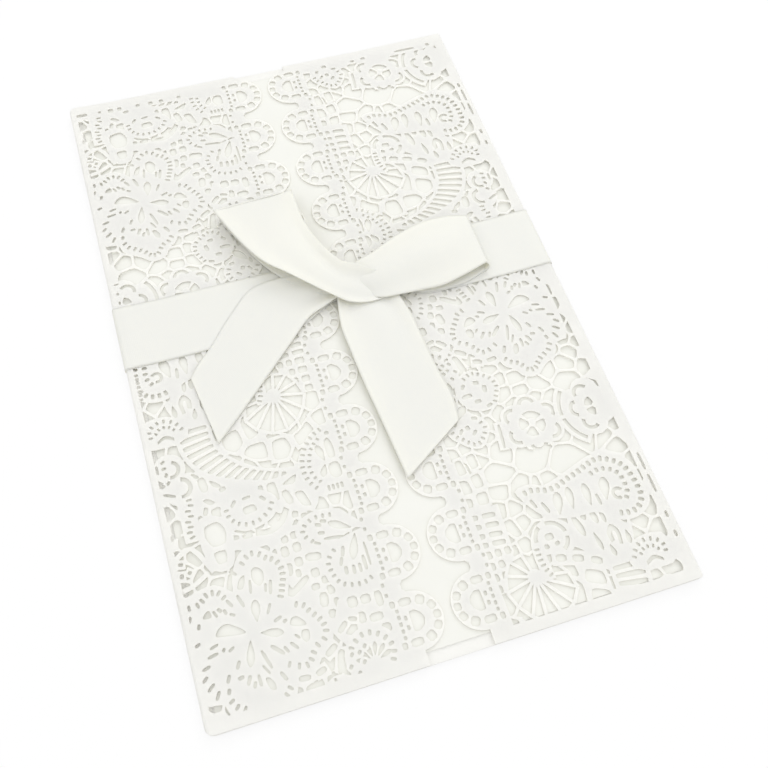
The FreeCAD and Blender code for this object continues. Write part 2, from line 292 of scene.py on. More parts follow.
def clipped(outline, point, normal):
    """Part of a convex outline on the side of a line that the normal points away from."""
    result = []
    for i, here in enumerate(outline):
        before = outline[i - 1]
        a = (before[0] - point[0]) * normal[0] + (before[1] - point[1]) * normal[1]
        b = (here[0] - point[0]) * normal[0] + (here[1] - point[1]) * normal[1]
        if (a < 0) != (b < 0):
            t = a / (a - b)
            result.append((before[0] + t * (here[0] - before[0]), before[1] + t * (here[1] - before[1])))
        if b < 0:
            result.append(here)
    return result


def net_cells():
    """Cells of the net: the space nearest each centre, less half a strand all round."""
    seeds = net_seeds()
    around = [(u, v + shift) for shift in (-REPEAT, 0.0, REPEAT) for u, v in seeds]
    cells = []
    for u, v in seeds:
        reach = 2.6 * net_spacing(u, v)
        outline = [(u - reach, v - reach), (u + reach, v - reach), (u + reach, v + reach),
                   (u - reach, v + reach)]
        for au, av in around:
            apart = math.hypot(au - u, av - v)
            if 0.0 < apart < 2.5 * reach:
                normal = ((au - u) / apart, (av - v) / apart)
                half = apart / 2 - NET_STRAND / 2
                outline = clipped(outline, (u + normal[0] * half, v + normal[1] * half), normal)
                if len(outline) < 3:
                    break
        corners = [p for i, p in enumerate(outline)
                   if math.hypot(p[0] - outline[i - 1][0], p[1] - outline[i - 1][1]) > 0.35]
        if len(corners) >= 3:
            cells.append(rounded(corners, 0.25))
    return cells
# ------------------------------------------------------------------ motifs of one repeat

BEAD_SIZE = 0.84


def petal(lace, row, heart, grow=1.3):
    """Solid petal: everything between a heart and a row of beads, and a rim past them."""
    curve = smooth(row, 3)
    outline = []
    for i, point in enumerate(curve):
        a, b = curve[max(i - 1, 0)], curve[min(i + 1, len(curve) - 1)]
        size = math.hypot(b[0] - a[0], b[1] - a[1]) or 1.0
        nx, ny = -(b[1] - a[1]) / size, (b[0] - a[0]) / size
        if (point[0] - heart[0]) * nx + (point[1] - heart[1]) * ny < 0:
            nx, ny = -nx, -ny
        outline.append((point[0] + nx * grow, point[1] + ny * grow))
    lace.paper([heart] + outline)


def bead_row(lace, row, across=1.5, wide=0.72):
    """Slit-like beads at each point of a row, square to it."""
    across, wide = BEAD_SIZE * across, BEAD_SIZE * wide
    for i, point in enumerate(row):
        a, b = row[max(i - 1, 0)], row[min(i + 1, len(row) - 1)]
        turn = math.degrees(math.atan2(b[1] - a[1], b[0] - a[0]))
        lace.bead(point, turn, across, wide)


def slit(lace, a, b, width):
    """Straight slit with rounded ends."""
    middle = ((a[0] + b[0]) / 2, (a[1] + b[1]) / 2)
    turn = math.degrees(math.atan2(b[1] - a[1], b[0] - a[0]))
    lace.bead(middle, turn, width, math.hypot(b[0] - a[0], b[1] - a[1]))


def large_flower(lace):
    """Four beaded petals round a solid heart."""
    lace.paper(smooth([
        (14.0, 25.6), (15.4, 23.0), (17.2, 21.4), (19.4, 21.0), (21.8, 22.0), (23.6, 23.6), (25.9, 25.4),
        (26.6, 28.0), (26.3, 31.0), (25.2, 33.6), (25.0, 35.5), (27.4, 35.7), (29.4, 37.2), (30.8, 39.2),
        (32.1, 41.4), (32.8, 44.0), (32.2, 46.8), (30.0, 48.6), (28.4, 50.4), (27.0, 51.9), (25.0, 52.3),
        (22.8, 51.9), (21.3, 52.2), (21.8, 54.6), (20.6, 56.8), (18.6, 57.9), (17.7, 60.0), (15.2, 61.2),
        (12.8, 60.8), (10.6, 58.9), (8.4, 57.8), (6.2, 56.1), (5.4, 53.6), (3.4, 53.2), (1.0, 50.6),
        (1.0, 30.0), (3.0, 28.8), (6.0, 27.6), (9.0, 27.4), (11.4, 28.8), (12.9, 30.2), (13.2, 28.2)], 2,
                      True))
    rows = (
        [(16.5, 24.4), (17.8, 23.2), (19.3, 22.7), (20.9, 23.4), (22.1, 24.6), (23.4, 25.3), (24.5, 26.5),
         (25.0, 28.0), (25.0, 29.4), (24.7, 30.8), (24.2, 32.0), (23.8, 33.2), (23.2, 34.4)],
        [(26.1, 37.2), (27.7, 37.9), (28.5, 39.3), (29.5, 40.6), (30.4, 41.9), (31.0, 43.3), (31.1, 44.8),
         (30.2, 46.4), (28.4, 47.3), (27.1, 48.6), (26.2, 49.9), (25.0, 50.8), (23.2, 50.5), (21.2, 49.5)],
        [(20.1, 54.4), (19.0, 55.6), (17.5, 56.3), (16.5, 57.4), (15.6, 58.8), (14.4, 59.2), (13.2, 58.8),
         (12.2, 57.7), (11.0, 56.6), (9.5, 55.8), (8.0, 54.9), (7.1, 53.4)],
        [(2.5, 31.1), (4.5, 31.0), (5.7, 30.3), (6.8, 29.3), (8.3, 29.1), (9.7, 29.6), (10.6, 30.9)],
    )
    for row in rows:
        bead_row(lace, row, 1.75, 0.9)
    # Upper petal.
    lace.eye((16.6, 38.4), (17.3, 33.4), 2.2)
    lace.patch([(17.9, 29.0), (18.1, 26.6), (19.4, 26.1), (20.7, 27.4), (20.4, 29.6), (19.2, 30.6)])
    lace.patch([(14.1, 29.8), (15.0, 27.8), (16.3, 27.2), (16.0, 28.9), (15.2, 30.2)])
    # Right petal.
    lace.eye((16.8, 41.0), (21.8, 42.4), 2.0)
    lace.patch([(23.6, 41.2), (24.2, 39.9), (25.4, 39.7), (26.6, 40.8), (27.2, 42.2), (25.2, 42.0)])
    lace.patch([(25.8, 43.2), (27.3, 43.4), (27.2, 45.2), (26.2, 46.0), (25.4, 44.8)])
    # Lower petal.
    lace.eye((14.1, 42.0), (12.8, 47.6), 1.9)
    lace.patch([(15.3, 51.0), (16.2, 50.9), (17.1, 52.4), (17.0, 53.8), (15.8, 53.2)])
    # Left petal.
    lace.patch([(6.9, 39.0), (7.7, 37.5), (9.5, 36.8), (11.4, 37.7), (13.7, 39.9), (11.2, 39.9), (9.0, 39.5)])
    lace.patch([(5.0, 34.4), (5.6, 33.3), (6.7, 32.9), (6.9, 34.5)])
    for a, b, width in (
            ((17.3, 28.6), (16.8, 31.8), 0.7), ((20.6, 30.4), (20.2, 32.4), 0.7),
                        ((21.9, 30.0), (21.1, 33.2), 0.85),
            ((20.5, 35.2), (19.3, 37.4), 0.7), ((13.6, 31.2), (14.6, 34.3), 0.85),
                        ((11.0, 31.6), (12.1, 33.5), 0.8),
            ((13.2, 25.3), (14.7, 26.6), 0.8),
            ((20.3, 39.5), (22.2, 38.8), 0.8), ((22.2, 40.3), (23.2, 39.8), 0.8),
                        ((24.0, 43.6), (25.0, 44.7), 0.6),
            ((22.6, 45.0), (24.1, 46.8), 0.8), ((21.0, 45.4), (21.8, 47.0), 0.7),
                        ((18.2, 44.4), (20.8, 47.0), 0.95),
            ((9.5, 49.3), (10.9, 49.1), 0.9), ((12.3, 49.2), (11.3, 51.2), 0.9),
                        ((13.1, 50.8), (12.5, 52.2), 0.8),
            ((14.0, 49.6), (14.1, 52.2), 0.8), ((10.7, 45.5), (9.8, 47.2), 0.8),
                        ((15.9, 44.8), (17.3, 49.2), 0.8),
            ((15.4, 48.0), (16.6, 50.2), 0.6), ((18.8, 50.5), (19.9, 52.6), 0.9),
            ((7.9, 47.8), (7.1, 49.5), 0.85), ((7.2, 50.6), (6.8, 51.9), 0.9),
            ((5.0, 50.5), (4.0, 52.3), 0.8), ((4.3, 48.7), (2.6, 50.0), 0.8), ((3.2, 46.8), (1.9, 47.9), 0.8),
            ((4.3, 44.8), (2.4, 45.4), 0.8), ((6.6, 42.6), (4.1, 43.1), 0.8), ((7.0, 40.7), (5.0, 41.3), 0.7),
            ((3.2, 39.4), (1.9, 40.0), 0.8), ((8.2, 41.9), (7.6, 42.7), 0.7),
                        ((10.3, 42.2), (8.9, 43.0), 0.7),
            ((3.9, 35.2), (3.5, 36.5), 0.8), ((7.5, 33.2), (8.2, 34.8), 0.7), ((8.6, 32.9), (9.4, 34.0), 0.9),
            ((9.9, 33.5), (10.4, 34.8), 0.8), ((11.0, 34.9), (12.2, 35.6), 0.7),
                        ((2.4, 33.0), (1.9, 34.4), 0.7)):
        slit(lace, a, b, width)
    # Long gaps that follow the petals.
    for a, b, width in (((38.6, 44.4), (36.6, 43.8), 1.1), ((36.0, 44.2), (33.8, 46.2), 1.3),
                        ((32.4, 48.4), (29.6, 50.2), 1.5), ((28.8, 52.6), (26.4, 53.4), 1.4),
                        ((25.0, 53.5), (22.3, 53.2), 1.3)):
        lace.paper(self_rim(a, b, width + 1.3))
        slit(lace, a, b, width)


def self_rim(a, b, width):
    """Box round a slit."""
    size = math.hypot(b[0] - a[0], b[1] - a[1])
    x, y = (b[0] - a[0]) / size, (b[1] - a[1]) / size
    half, over = width / 2, 0.5
    return [(a[0] - x * over - y * half, a[1] - y * over + x * half),
            (b[0] + x * over - y * half, b[1] + y * over + x * half),
            (b[0] + x * over + y * half, b[1] + y * over - x * half),
            (a[0] - x * over + y * half, a[1] - y * over - x * half)]


def leaf_pair(lace):
    """Two beaded leaves that spring from one stem at the dotted bar."""
    first = [(42.0, 18.9), (39.8, 18.2), (36.6, 17.8), (33.6, 18.6), (31.6, 20.0), (31.4, 22.4), (33.2, 24.6),
             (36.0, 25.8)]
    second = [(39.6, 26.2), (36.8, 28.0), (35.2, 30.2), (35.4, 33.0), (36.4, 35.6), (38.6, 37.2),
              (41.6, 37.8),
              (44.6, 37.6), (46.6, 36.0)]
    petal(lace, first, (46.6, 23.0), 0.9)
    petal(lace, second, (46.6, 24.0), 0.9)
    bead_row(lace, [(39.6, 18.9), (37.9, 18.7), (36.2, 18.6), (34.5, 19.0), (33.0, 19.9), (32.2, 21.2),
                    (32.6, 22.7), (33.8, 24.0)], 1.4, 0.8)
    bead_row(lace, [(38.0, 27.6), (36.6, 28.9), (35.9, 30.4), (36.0, 31.9), (36.4, 33.4), (37.0, 34.9),
                    (38.2, 36.0), (39.8, 36.6), (41.5, 36.9), (43.1, 36.8), (44.6, 36.2)], 1.4, 0.8)
    lace.eye((43.6, 23.4), (38.6, 20.7), 2.0)
    lace.eye((44.0, 25.0), (41.8, 31.0), 2.1)
    for point, turn in (((36.2, 20.6), 20.0), ((37.6, 20.0), 20.0), ((36.4, 22.7), 10.0)):
        lace.bead(point, turn, 0.9, 1.6)
    for a, b, width in (((34.0, 24.4), (35.6, 25.2), 0.7), ((36.6, 24.3), (41.2, 24.9), 0.8),
                        ((40.4, 27.2), (39.6, 29.6), 0.9), ((39.4, 29.6), (38.6, 31.6), 0.8),
                        ((39.6, 32.0), (39.4, 34.0), 0.9), ((41.4, 32.2), (41.2, 34.4), 0.9),
                        ((42.9, 32.2), (42.8, 34.4), 0.8), ((44.2, 30.6), (44.2, 34.2), 0.9),
                        ((45.4, 27.6), (45.4, 33.4), 0.6)):
        slit(lace, a, b, width)


def small_roses(lace):
    """Two beaded rings side by side above the ribbon."""
    first = [(34.6, 56.6), (32.9, 55.4), (30.6, 54.8), (28.4, 55.6), (26.2, 57.0), (24.6, 58.8), (24.4, 61.0),
             (25.4, 63.4), (26.6, 65.6), (29.0, 66.8), (32.0, 66.6), (35.0, 65.0), (36.4, 61.6), (36.0, 58.4)]
    second = [(34.4, 66.6), (32.2, 68.4), (31.2, 71.0), (32.6, 74.0), (35.0, 76.2), (37.6, 75.6),
              (40.0, 73.6),
              (42.0, 71.2), (41.8, 68.0), (40.2, 64.8), (38.4, 62.4), (36.4, 63.6)]
    lace.paper(smooth(first, 3, True))
    lace.paper(smooth(second, 3, True))
    bead_row(lace, [(32.9, 56.9), (31.5, 56.1), (30.1, 55.9), (28.8, 56.5), (27.5, 57.3), (26.3, 58.3),
                    (25.6, 59.6), (25.4, 61.0), (25.8, 62.4), (26.5, 63.7), (27.2, 65.0)], 1.4, 0.75)
    bead_row(lace, [(33.0, 69.6), (32.4, 71.1), (33.0, 72.6), (34.0, 73.8), (35.2, 74.8), (36.7, 74.8),
                    (37.9, 73.9), (39.0, 72.8), (40.2, 71.8), (40.9, 70.4)], 1.4, 0.75)
    for a, b, width in (((34.4, 59.6), (33.4, 58.3), 0.9), ((31.0, 58.6), (29.4, 58.8), 1.2),
                        ((32.4, 61.7), (35.2, 61.9), 1.3), ((28.4, 59.9), (28.8, 62.0), 1.2),
                        ((30.6, 63.8), (32.4, 63.9), 1.1), ((28.2, 65.4), (29.8, 65.9), 0.9),
                        ((37.6, 56.8), (37.2, 60.4), 1.6), ((33.4, 68.2), (34.9, 67.8), 1.0),
                        ((39.2, 67.2), (39.8, 69.0), 0.9), ((38.2, 70.0), (39.2, 71.4), 0.8),
                        ((36.2, 70.0), (37.4, 70.2), 1.3), ((34.8, 71.2), (36.0, 72.4), 0.9)):
        slit(lace, a, b, width)
    lace.eye((38.9, 67.6), (35.4, 64.0), 2.2)
    for point in ((38.4, 50.6), (36.9, 51.6), (35.1, 51.6), (37.4, 53.9), (35.7, 55.9), (34.2, 54.1)):
        lace.disc(point, 1.2, 8)
    for point in ((38.4, 50.6), (36.9, 51.6), (35.1, 51.6), (37.4, 53.9), (35.7, 55.9), (34.2, 54.1)):
        lace.bead(point, 40.0, 1.1, 0.8)
    lace.paper(self_rim((28.9, 71.4), (29.7, 77.9), 2.4))
    slit(lace, (28.9, 71.4), (29.7, 77.9), 0.9)


def half_medallion(lace, drop):
    """Half round window with a double beaded rim, against the dotted bar."""
    rim = [(46.8, -10.0), (44.0, -10.2), (40.8, -8.6), (38.0, -5.6), (36.0, -2.4), (35.4, 1.6), (36.2, 5.2),
           (38.0, 7.6), (41.0, 8.2), (46.8, 8.6)]
    lace.paper([(u, v + drop) for u, v in smooth(rim, 3)])
    outer = [(43.4, -8.9), (41.9, -8.3), (40.5, -7.4), (39.3, -6.2), (38.3, -4.9), (37.5, -3.5), (36.9, -2.0),
             (36.6, -0.4), (36.6, 1.2), (36.9, 2.8), (37.5, 4.3), (38.5, 5.7)]
    inner = [(42.2, -6.6), (41.0, -5.6), (40.0, -4.4), (39.2, -3.0), (38.6, -1.5), (38.3, 0.0), (38.4, 1.6),
             (38.9, 3.1), (39.8, 4.4)]
    bead_row(lace, [(u, v + drop) for u, v in outer], 1.5, 0.75)
    bead_row(lace, [(u, v + drop) for u, v in inner], 1.2, 0.75)
    lace.eye((42.4, drop - 0.6), (41.4, drop - 5.0), 2.0)
    lace.patch([(43.6, drop - 1.2), (43.4, drop - 5.0), (44.6, drop - 6.4), (45.4, drop - 4.4),
                (45.3, drop - 1.2)])
    lace.eye((42.2, drop + 0.4), (40.8, drop + 3.4), 1.7)
    lace.patch([(43.2, drop + 0.6), (45.4, drop + 0.6), (45.6, drop + 4.0), (43.6, drop + 4.4),
                (42.6, drop + 2.6)])
    lace.bead((44.9, drop - 7.6), 0.0, 1.0, 1.2)
    for i in range(5):
        lace.bead((41.4 + 1.1 * i, drop + 6.6), 0.0, 1.5, 0.7)


def crescent(lace):
    """Ladder that swings round the star from the fold to the medallion."""
    far = smooth([(8.0, 112.6), (8.6, 119.8), (12.0, 126.0), (18.0, 129.8), (25.0, 132.4), (35.6, 134.8)], 5)
    near = smooth([(17.4, 111.8), (17.8, 119.0), (20.2, 123.4), (25.0, 127.4), (30.0, 129.6),
                   (35.6, 130.6)], 5)
    lace.paper(near + far[::-1])
    lace.ladder([(16.4, 113.0), (16.8, 119.0), (19.4, 123.8), (24.8, 128.4), (34.6, 132.0)],
                [(9.0, 113.0), (9.6, 119.4), (12.8, 125.2), (20.0, 129.6), (34.6, 134.2)], 16, 0.8)


def windows(lace):
    """Solid stem below the crescent with tall windows and a small fan."""
    lace.paper(smooth([(9.0, 124.6), (14.0, 127.6), (20.0, 131.0), (30.0, 132.2), (37.4, 131.6),
                       (39.0, 137.0),
                       (36.6, 142.6), (31.4, 140.8), (25.0, 139.4), (17.0, 138.2), (10.4, 137.0),
                       (8.8, 131.0)], 3,
                      True))
    slit(lace, (9.9, 125.4), (11.5, 126.9), 0.9)
    lace.patch([(11.0, 127.4), (12.6, 127.0), (13.2, 129.6), (12.6, 130.8), (11.4, 130.4)])
    lace.patch([(13.8, 128.2), (15.8, 129.6), (16.2, 130.8), (14.4, 130.0)])
    for a, b, width in (((15.6, 131.5), (17.2, 131.0), 1.2), ((10.9, 136.6), (11.6, 134.6), 1.1),
                        ((16.1, 135.4), (16.7, 133.6), 1.0), ((31.6, 139.6), (30.6, 135.8), 1.9),
                        ((25.2, 137.2), (25.2, 140.0), 1.2)):
        slit(lace, a, b, width)
    lace.cell((11.0, 132.8), (12.4, 132.5), (14.2, 134.1), (12.6, 134.5))
    lace.cell((12.4, 135.6), (14.8, 135.2), (15.4, 137.8), (12.6, 137.9))
    lace.cell((17.9, 138.0), (19.9, 136.9), (18.6, 134.8))
    lace.cell((20.8, 134.9), (21.8, 132.2), (22.6, 134.9))
    lace.cell((24.2, 136.0), (24.9, 132.8), (26.0, 133.0), (25.8, 136.2))
    lace.cell((26.8, 133.0), (29.1, 132.9), (29.3, 138.0), (26.7, 137.4))
    lace.cell((30.1, 134.3), (34.9, 132.2), (33.6, 135.0))
    lace.cell((32.7, 137.0), (35.1, 136.9), (36.4, 141.6), (33.9, 140.8))


def fold_fan(lace):
    """Beaded fan at the fold."""
    lace.paper(smooth([(1.0, 116.0), (1.0, 110.0), (3.0, 108.6), (6.4, 108.4), (9.4, 109.4), (11.4, 112.0),
                       (11.6, 114.6), (9.0, 116.4), (5.0, 116.8)], 3, True))
    bead_row(lace, [(2.4, 113.4), (2.3, 111.9), (3.2, 110.6), (4.7, 109.8), (6.4, 109.6), (8.1, 110.2),
                    (9.4, 111.3), (10.3, 112.8)], 1.4, 0.8)
    bead_row(lace, [(3.9, 112.6), (4.8, 111.6), (6.1, 111.3), (7.4, 111.6), (8.4, 112.5)], 1.1, 0.75)
    lace.cut(smooth([(3.8, 114.8), (5.8, 113.6), (8.0, 114.6)],
                    4) + smooth([(8.0, 115.5), (5.8, 114.6), (3.8, 115.6)], 4))


def hook(lace, centre, radius, start, end, width=0.95):
    """Curved slit."""
    lace.cut(arc(centre, radius, start, end, 9) + arc(centre, radius - width, end, start, 9))


def fold_roses(lace):
    """Small roses and curls down the fold."""
    lace.disc((5.2, 122.6), 3.9)
    lace.disc((6.6, 128.4), 4.3)
    hook(lace, (5.3, 122.9), 2.5, -70.0, 100.0)
    hook(lace, (6.8, 128.2), 2.9, -80.0, 95.0, 1.1)
    for point, turn in (((3.9, 122.2), 80.0), ((4.1, 124.0), 20.0), ((3.9, 120.5), 60.0), ((6.3, 118.4), 0.0),
                        ((4.2, 126.2), 40.0), ((2.8, 126.8), 70.0)):
        lace.bead(point, turn, 1.2, 0.8)
    slit(lace, (2.2, 121.0), (2.3, 123.4), 0.7)
    slit(lace, (2.4, 128.8), (5.2, 130.0), 0.8)
    lace.paper([(5.0, 131.0), (9.2, 130.6), (9.0, 142.2), (5.0, 142.2)])
    bead_row(lace, [(8.0, 131.7), (8.1, 133.1), (7.2, 134.4), (7.6, 135.8), (6.7, 137.1), (7.0, 138.4),
                    (6.5, 139.7), (6.9, 141.0)], 1.7, 0.8)
    lace.cut(arc((3.0, 14.6), 1.6, 180.0, 360.0, 8) + arc((3.0, 14.8), 0.6, 360.0, 180.0, 6))
    lace.strip([(2.0, 19.2), (6.0, 17.6), (9.8, 24.4)], 1.2, 3)
    lace.strip([(2.0, 27.0), (5.0, 26.2), (8.6, 24.2)], 1.1, 3)
    for a, b, width in (((2.2, 20.6), (3.4, 20.8), 0.9), ((2.0, 23.4), (3.0, 23.6), 1.2),
                        ((4.0, 22.8), (4.8, 23.4), 0.9)):
        lace.paper(self_rim(a, b, width + 1.3))
        slit(lace, a, b, width)


def hanging_fan(lace):
    """Beaded oval that hangs beside the windows, over two big cells."""
    lace.paper(smooth([(14.6, 10.6), (17.0, 7.8), (21.4, 7.0), (26.4, 8.6), (28.6, 11.6), (26.8, 15.2),
                       (23.0, 16.8), (19.0, 17.0), (15.8, 14.6)], 3, True))
    bead_row(lace, [(16.0, 10.9), (16.2, 12.4), (17.0, 13.8), (18.2, 14.9), (19.8, 15.5), (21.5, 15.6),
                    (23.2, 15.3), (24.8, 14.5), (26.2, 13.4), (27.0, 12.0)], 1.4, 0.8)
    lace.cell((19.8, 11.2), (22.8, 10.9), (23.4, 12.9), (20.0, 13.2))
    slit(lace, (17.4, 10.4), (18.6, 8.9), 0.9)
    slit(lace, (24.6, 9.6), (25.8, 10.9), 0.9)
    slit(lace, (20.4, 9.2), (22.4, 8.9), 0.8)
    lace.strip([(13.2, 15.4), (16.6, 18.6), (22.0, 20.0), (27.4, 19.0), (31.2, 14.6)], 3.6, 4)
    for a, b in (((15.0, 17.6), (17.4, 18.1)), ((18.2, 18.2), (20.6, 18.4))):
        slit(lace, a, b, 1.2)
    lace.cut(smooth([(21.6, 17.5), (24.8, 17.9), (27.6, 16.4), (29.6, 13.8)], 3)
             + smooth([(30.6, 14.8), (28.6, 17.8), (25.2, 19.4), (21.4, 18.9)], 3))
    slit(lace, (30.9, 16.2), (32.4, 16.6), 1.7)
    lace.paper(smooth([(8.6, 12.0), (12.0, 10.8), (15.8, 13.4), (16.2, 17.6), (14.6, 24.2), (10.2, 24.4),
                       (8.4, 19.0)], 3, True))
    lace.cell((9.9, 13.2), (13.4, 12.6), (14.9, 15.4), (14.2, 18.6), (10.9, 18.8), (9.6, 16.0))
    lace.cell((10.6, 20.0), (13.8, 19.9), (13.5, 23.0), (11.2, 23.2))


def pebbles(lace):
    """Net of small rounded cells beside the large flower, over a heart and a half flower."""
    lace.paper(smooth([(25.4, 20.6), (29.0, 15.0), (34.6, 15.6), (33.0, 20.0), (36.4, 25.8), (37.0, 31.0),
                       (37.4, 37.0), (36.0, 43.6), (32.0, 44.0), (30.6, 38.6), (27.6, 35.0), (25.4, 31.0)],
                      3, True))
    for point, wide, tall, turn in (
            ((27.6, 21.7), 1.7, 1.9, 0), ((31.5, 16.4), 1.8, 1.3, 0), ((31.0, 18.3), 1.8, 1.3, 10),
            ((33.7, 17.3), 1.6, 1.3, 0), ((30.1, 21.3), 2.0, 1.9, 0), ((26.9, 24.6), 1.9, 2.6, 0),
            ((29.9, 24.3), 2.0, 2.4, 0), ((32.6, 23.4), 1.6, 1.8, 0), ((26.8, 29.0), 1.6, 3.0, 10),
            ((29.4, 27.8), 1.9, 2.3, 0), ((33.0, 27.6), 3.8, 2.0, 10), ((28.6, 30.4), 1.3, 1.9, 0),
            ((32.4, 31.4), 2.0, 2.2, 0), ((35.3, 30.2), 1.8, 2.2, 10), ((34.3, 33.6), 2.0, 1.8, 0),
            ((28.2, 33.2), 5.6, 1.6, -33), ((31.6, 34.6), 2.0, 1.6, 0), ((32.6, 38.0), 2.0, 3.4, 10),
            ((34.8, 36.2), 1.8, 2.2, 0), ((33.6, 41.6), 1.8, 2.0, 0), ((35.4, 39.6), 1.4, 2.6, -10)):
        pebble(lace, point, wide, tall, turn)
    lace.paper(smooth([(37.0, 38.0), (47.0, 38.0), (47.0, 50.0), (38.0, 47.0), (35.6, 50.0), (32.4, 45.6),
                       (34.0, 42.4)], 3, True))
    for point, wide, tall, turn in (
            ((38.7, 40.4), 2.4, 2.6, 0), ((41.8, 40.6), 2.4, 2.2, 0), ((44.8, 41.4), 1.8, 3.6, 0),
            ((43.0, 45.2), 3.2, 2.0, 0), ((44.5, 48.2), 2.2, 2.2, 0), ((39.8, 44.4), 1.8, 2.6, 0),
            ((36.2, 45.2), 3.2, 4.4, -30)):
        pebble(lace, point, wide, tall, turn)
    lace.disc((39.8, 53.0), 6.6, 26)
    bead_row(lace, [(34.6, 52.0), (35.4, 50.3), (36.8, 49.0), (38.5, 48.1), (40.4, 48.1), (42.1, 48.9),
                    (43.5, 50.2), (44.4, 51.8), (44.5, 53.6), (43.8, 55.2)], 1.6, 1.0)
    lace.fan((39.8, 54.6), 1.4, 4.4, -160.0, -20.0, 6, 1.1)
    for point in ((28.7, 55.5), (30.0, 54.3), (31.5, 54.4), (32.8, 55.2)):
        lace.bead(point, 0.0, 1.1, 0.8)


def pebble(lace, centre, wide, tall, turn):
    """Rounded cell."""
    lace.bead(centre, turn, tall, wide)


def six_lobed_flower(lace):
    """Small flower of curved slits round three windows."""
    centre = (20.4, 73.6)
    for i in range(6):
        lace.disc(polar(centre, 4.9, 60.0 * i + 25.0), 3.5, 14)
    lace.disc(centre, 5.4)
    lace.cut(arc(centre, 3.5, -150.0, -60.0, 9) + arc(centre, 1.5, -60.0, -150.0, 6))
    lace.wedge(centre, 1.0, 3.5, -45.0, 20.0)
    lace.wedge(centre, 1.0, 3.5, 40.0, 100.0)
    lace.wedge(centre, 1.0, 3.5, 120.0, 190.0)
    for i in range(6):
        turn = 60.0 * i + 25.0
        hook(lace, polar(centre, 5.2, turn), 2.4, turn - 75.0, turn + 75.0, 0.95)
    slit(lace, (18.0, 80.6), (20.4, 81.2), 1.2)
    slit(lace, (22.0, 81.3), (24.4, 80.4), 1.2)


def fold_flower(lace):
    """Half flower at the fold, with curved slits."""
    centre = (2.6, 73.4)
    for i in range(4):
        lace.disc(polar(centre, 4.8, 45.0 * i - 75.0), 3.7, 14)
    lace.disc(centre, 5.4)
    for turn in (-62.0, -5.0, 52.0):
        hook(lace, polar(centre, 4.8, turn), 2.4, turn - 80.0, turn + 80.0, 0.95)
    lace.wedge(centre, 1.0, 3.0, -70.0, -10.0)
    lace.wedge(centre, 1.0, 3.0, 10.0, 70.0)
    lace.strip(arc(centre, 9.6, -45.0, 60.0, 6), 3.0, 2)
    hook(lace, centre, 10.1, -40.0, 2.0, 1.0)
    hook(lace, centre, 10.1, 8.0, 54.0, 1.0)


def scroll(lace):
    """Beaded scroll that curls at the fold, over leaf-shaped windows."""
    outer = [(30.2, 90.6), (27.4, 90.2), (24.2, 91.2), (21.0, 91.0), (18.2, 90.0), (15.2, 89.2), (12.0, 88.0),
             (8.6, 87.2), (5.6, 88.4), (3.2, 90.6), (2.2, 93.6), (1.9, 96.6), (2.2, 99.6), (4.2, 101.8),
             (7.0, 102.2),
             (9.4, 101.6)]
    lace.paper(smooth([(31.6, 89.4), (27.4, 88.6), (24.0, 89.8), (18.0, 88.2), (12.0, 86.2), (8.0, 85.6),
                       (4.0, 87.0), (0.6, 91.0), (0.2, 97.0), (0.6, 101.0), (4.0, 103.6), (9.0, 103.6),
                       (14.0, 100.0), (20.0, 99.6), (26.0, 98.0), (29.6, 94.0)], 3, True))
    lace.beads(smooth(outer), 1.75, 1.5, 0.95)
    inner = [(12.4, 90.6), (9.4, 89.9), (6.8, 90.6), (5.0, 92.4), (4.6, 94.8), (4.9, 97.4), (6.2, 99.2)]
    lace.beads(smooth(inner), 1.7, 1.3, 0.9)
    for root, tip, width in (((23.2, 98.0), (21.8, 92.4), 2.5), ((19.4, 97.6), (18.8, 91.9), 2.1),
                             ((14.9, 98.0), (14.6, 92.2), 2.2), ((10.6, 97.8), (9.2, 92.0), 2.7)):
        lace.eye(root, tip, width)
    hook(lace, (7.2, 97.0), 1.7, -150.0, 110.0, 0.9)
    for a, b in (((25.4, 96.8), (26.4, 93.8)), ((28.0, 94.8), (28.8, 92.4)), ((12.4, 98.6), (12.6, 95.6))):
        slit(lace, a, b, 0.9)


def feather(lace):
    """Long leaf windows fanned below the scroll."""
    lace.paper(smooth([(8.0, 99.0), (10.0, 97.6), (16.0, 96.8), (25.6, 95.0), (27.4, 98.4), (22.6, 105.0),
                       (18.0, 110.4), (14.0, 112.4), (9.6, 110.6), (7.4, 105.0)], 3, True))
    for root, tip, width in (((11.2, 98.2), (10.6, 102.2), 1.1), ((13.6, 99.0), (13.2, 103.0), 1.2),
                             ((15.8, 97.9), (15.2, 102.6), 1.7), ((18.4, 97.6), (17.8, 101.0), 1.5),
                             ((20.8, 97.8), (19.4, 104.6), 1.9), ((23.9, 96.6), (23.0, 101.2), 2.6),
                             ((17.2, 104.4), (16.6, 109.0), 1.2), ((9.4, 100.6), (8.4, 104.4), 1.5),
                             ((14.6, 108.2), (14.2, 111.2), 1.3), ((9.4, 106.0), (9.6, 109.4), 1.4)):
        lace.eye(root, tip, width)
    lace.cut(smooth([(11.4, 109.0), (11.0, 105.6), (12.6, 103.6), (14.2, 105.6), (14.0, 108.0)], 3)
             + smooth([(13.0, 107.6), (12.9, 105.8), (12.5, 105.4), (12.0, 106.2), (12.3, 108.8)], 3))


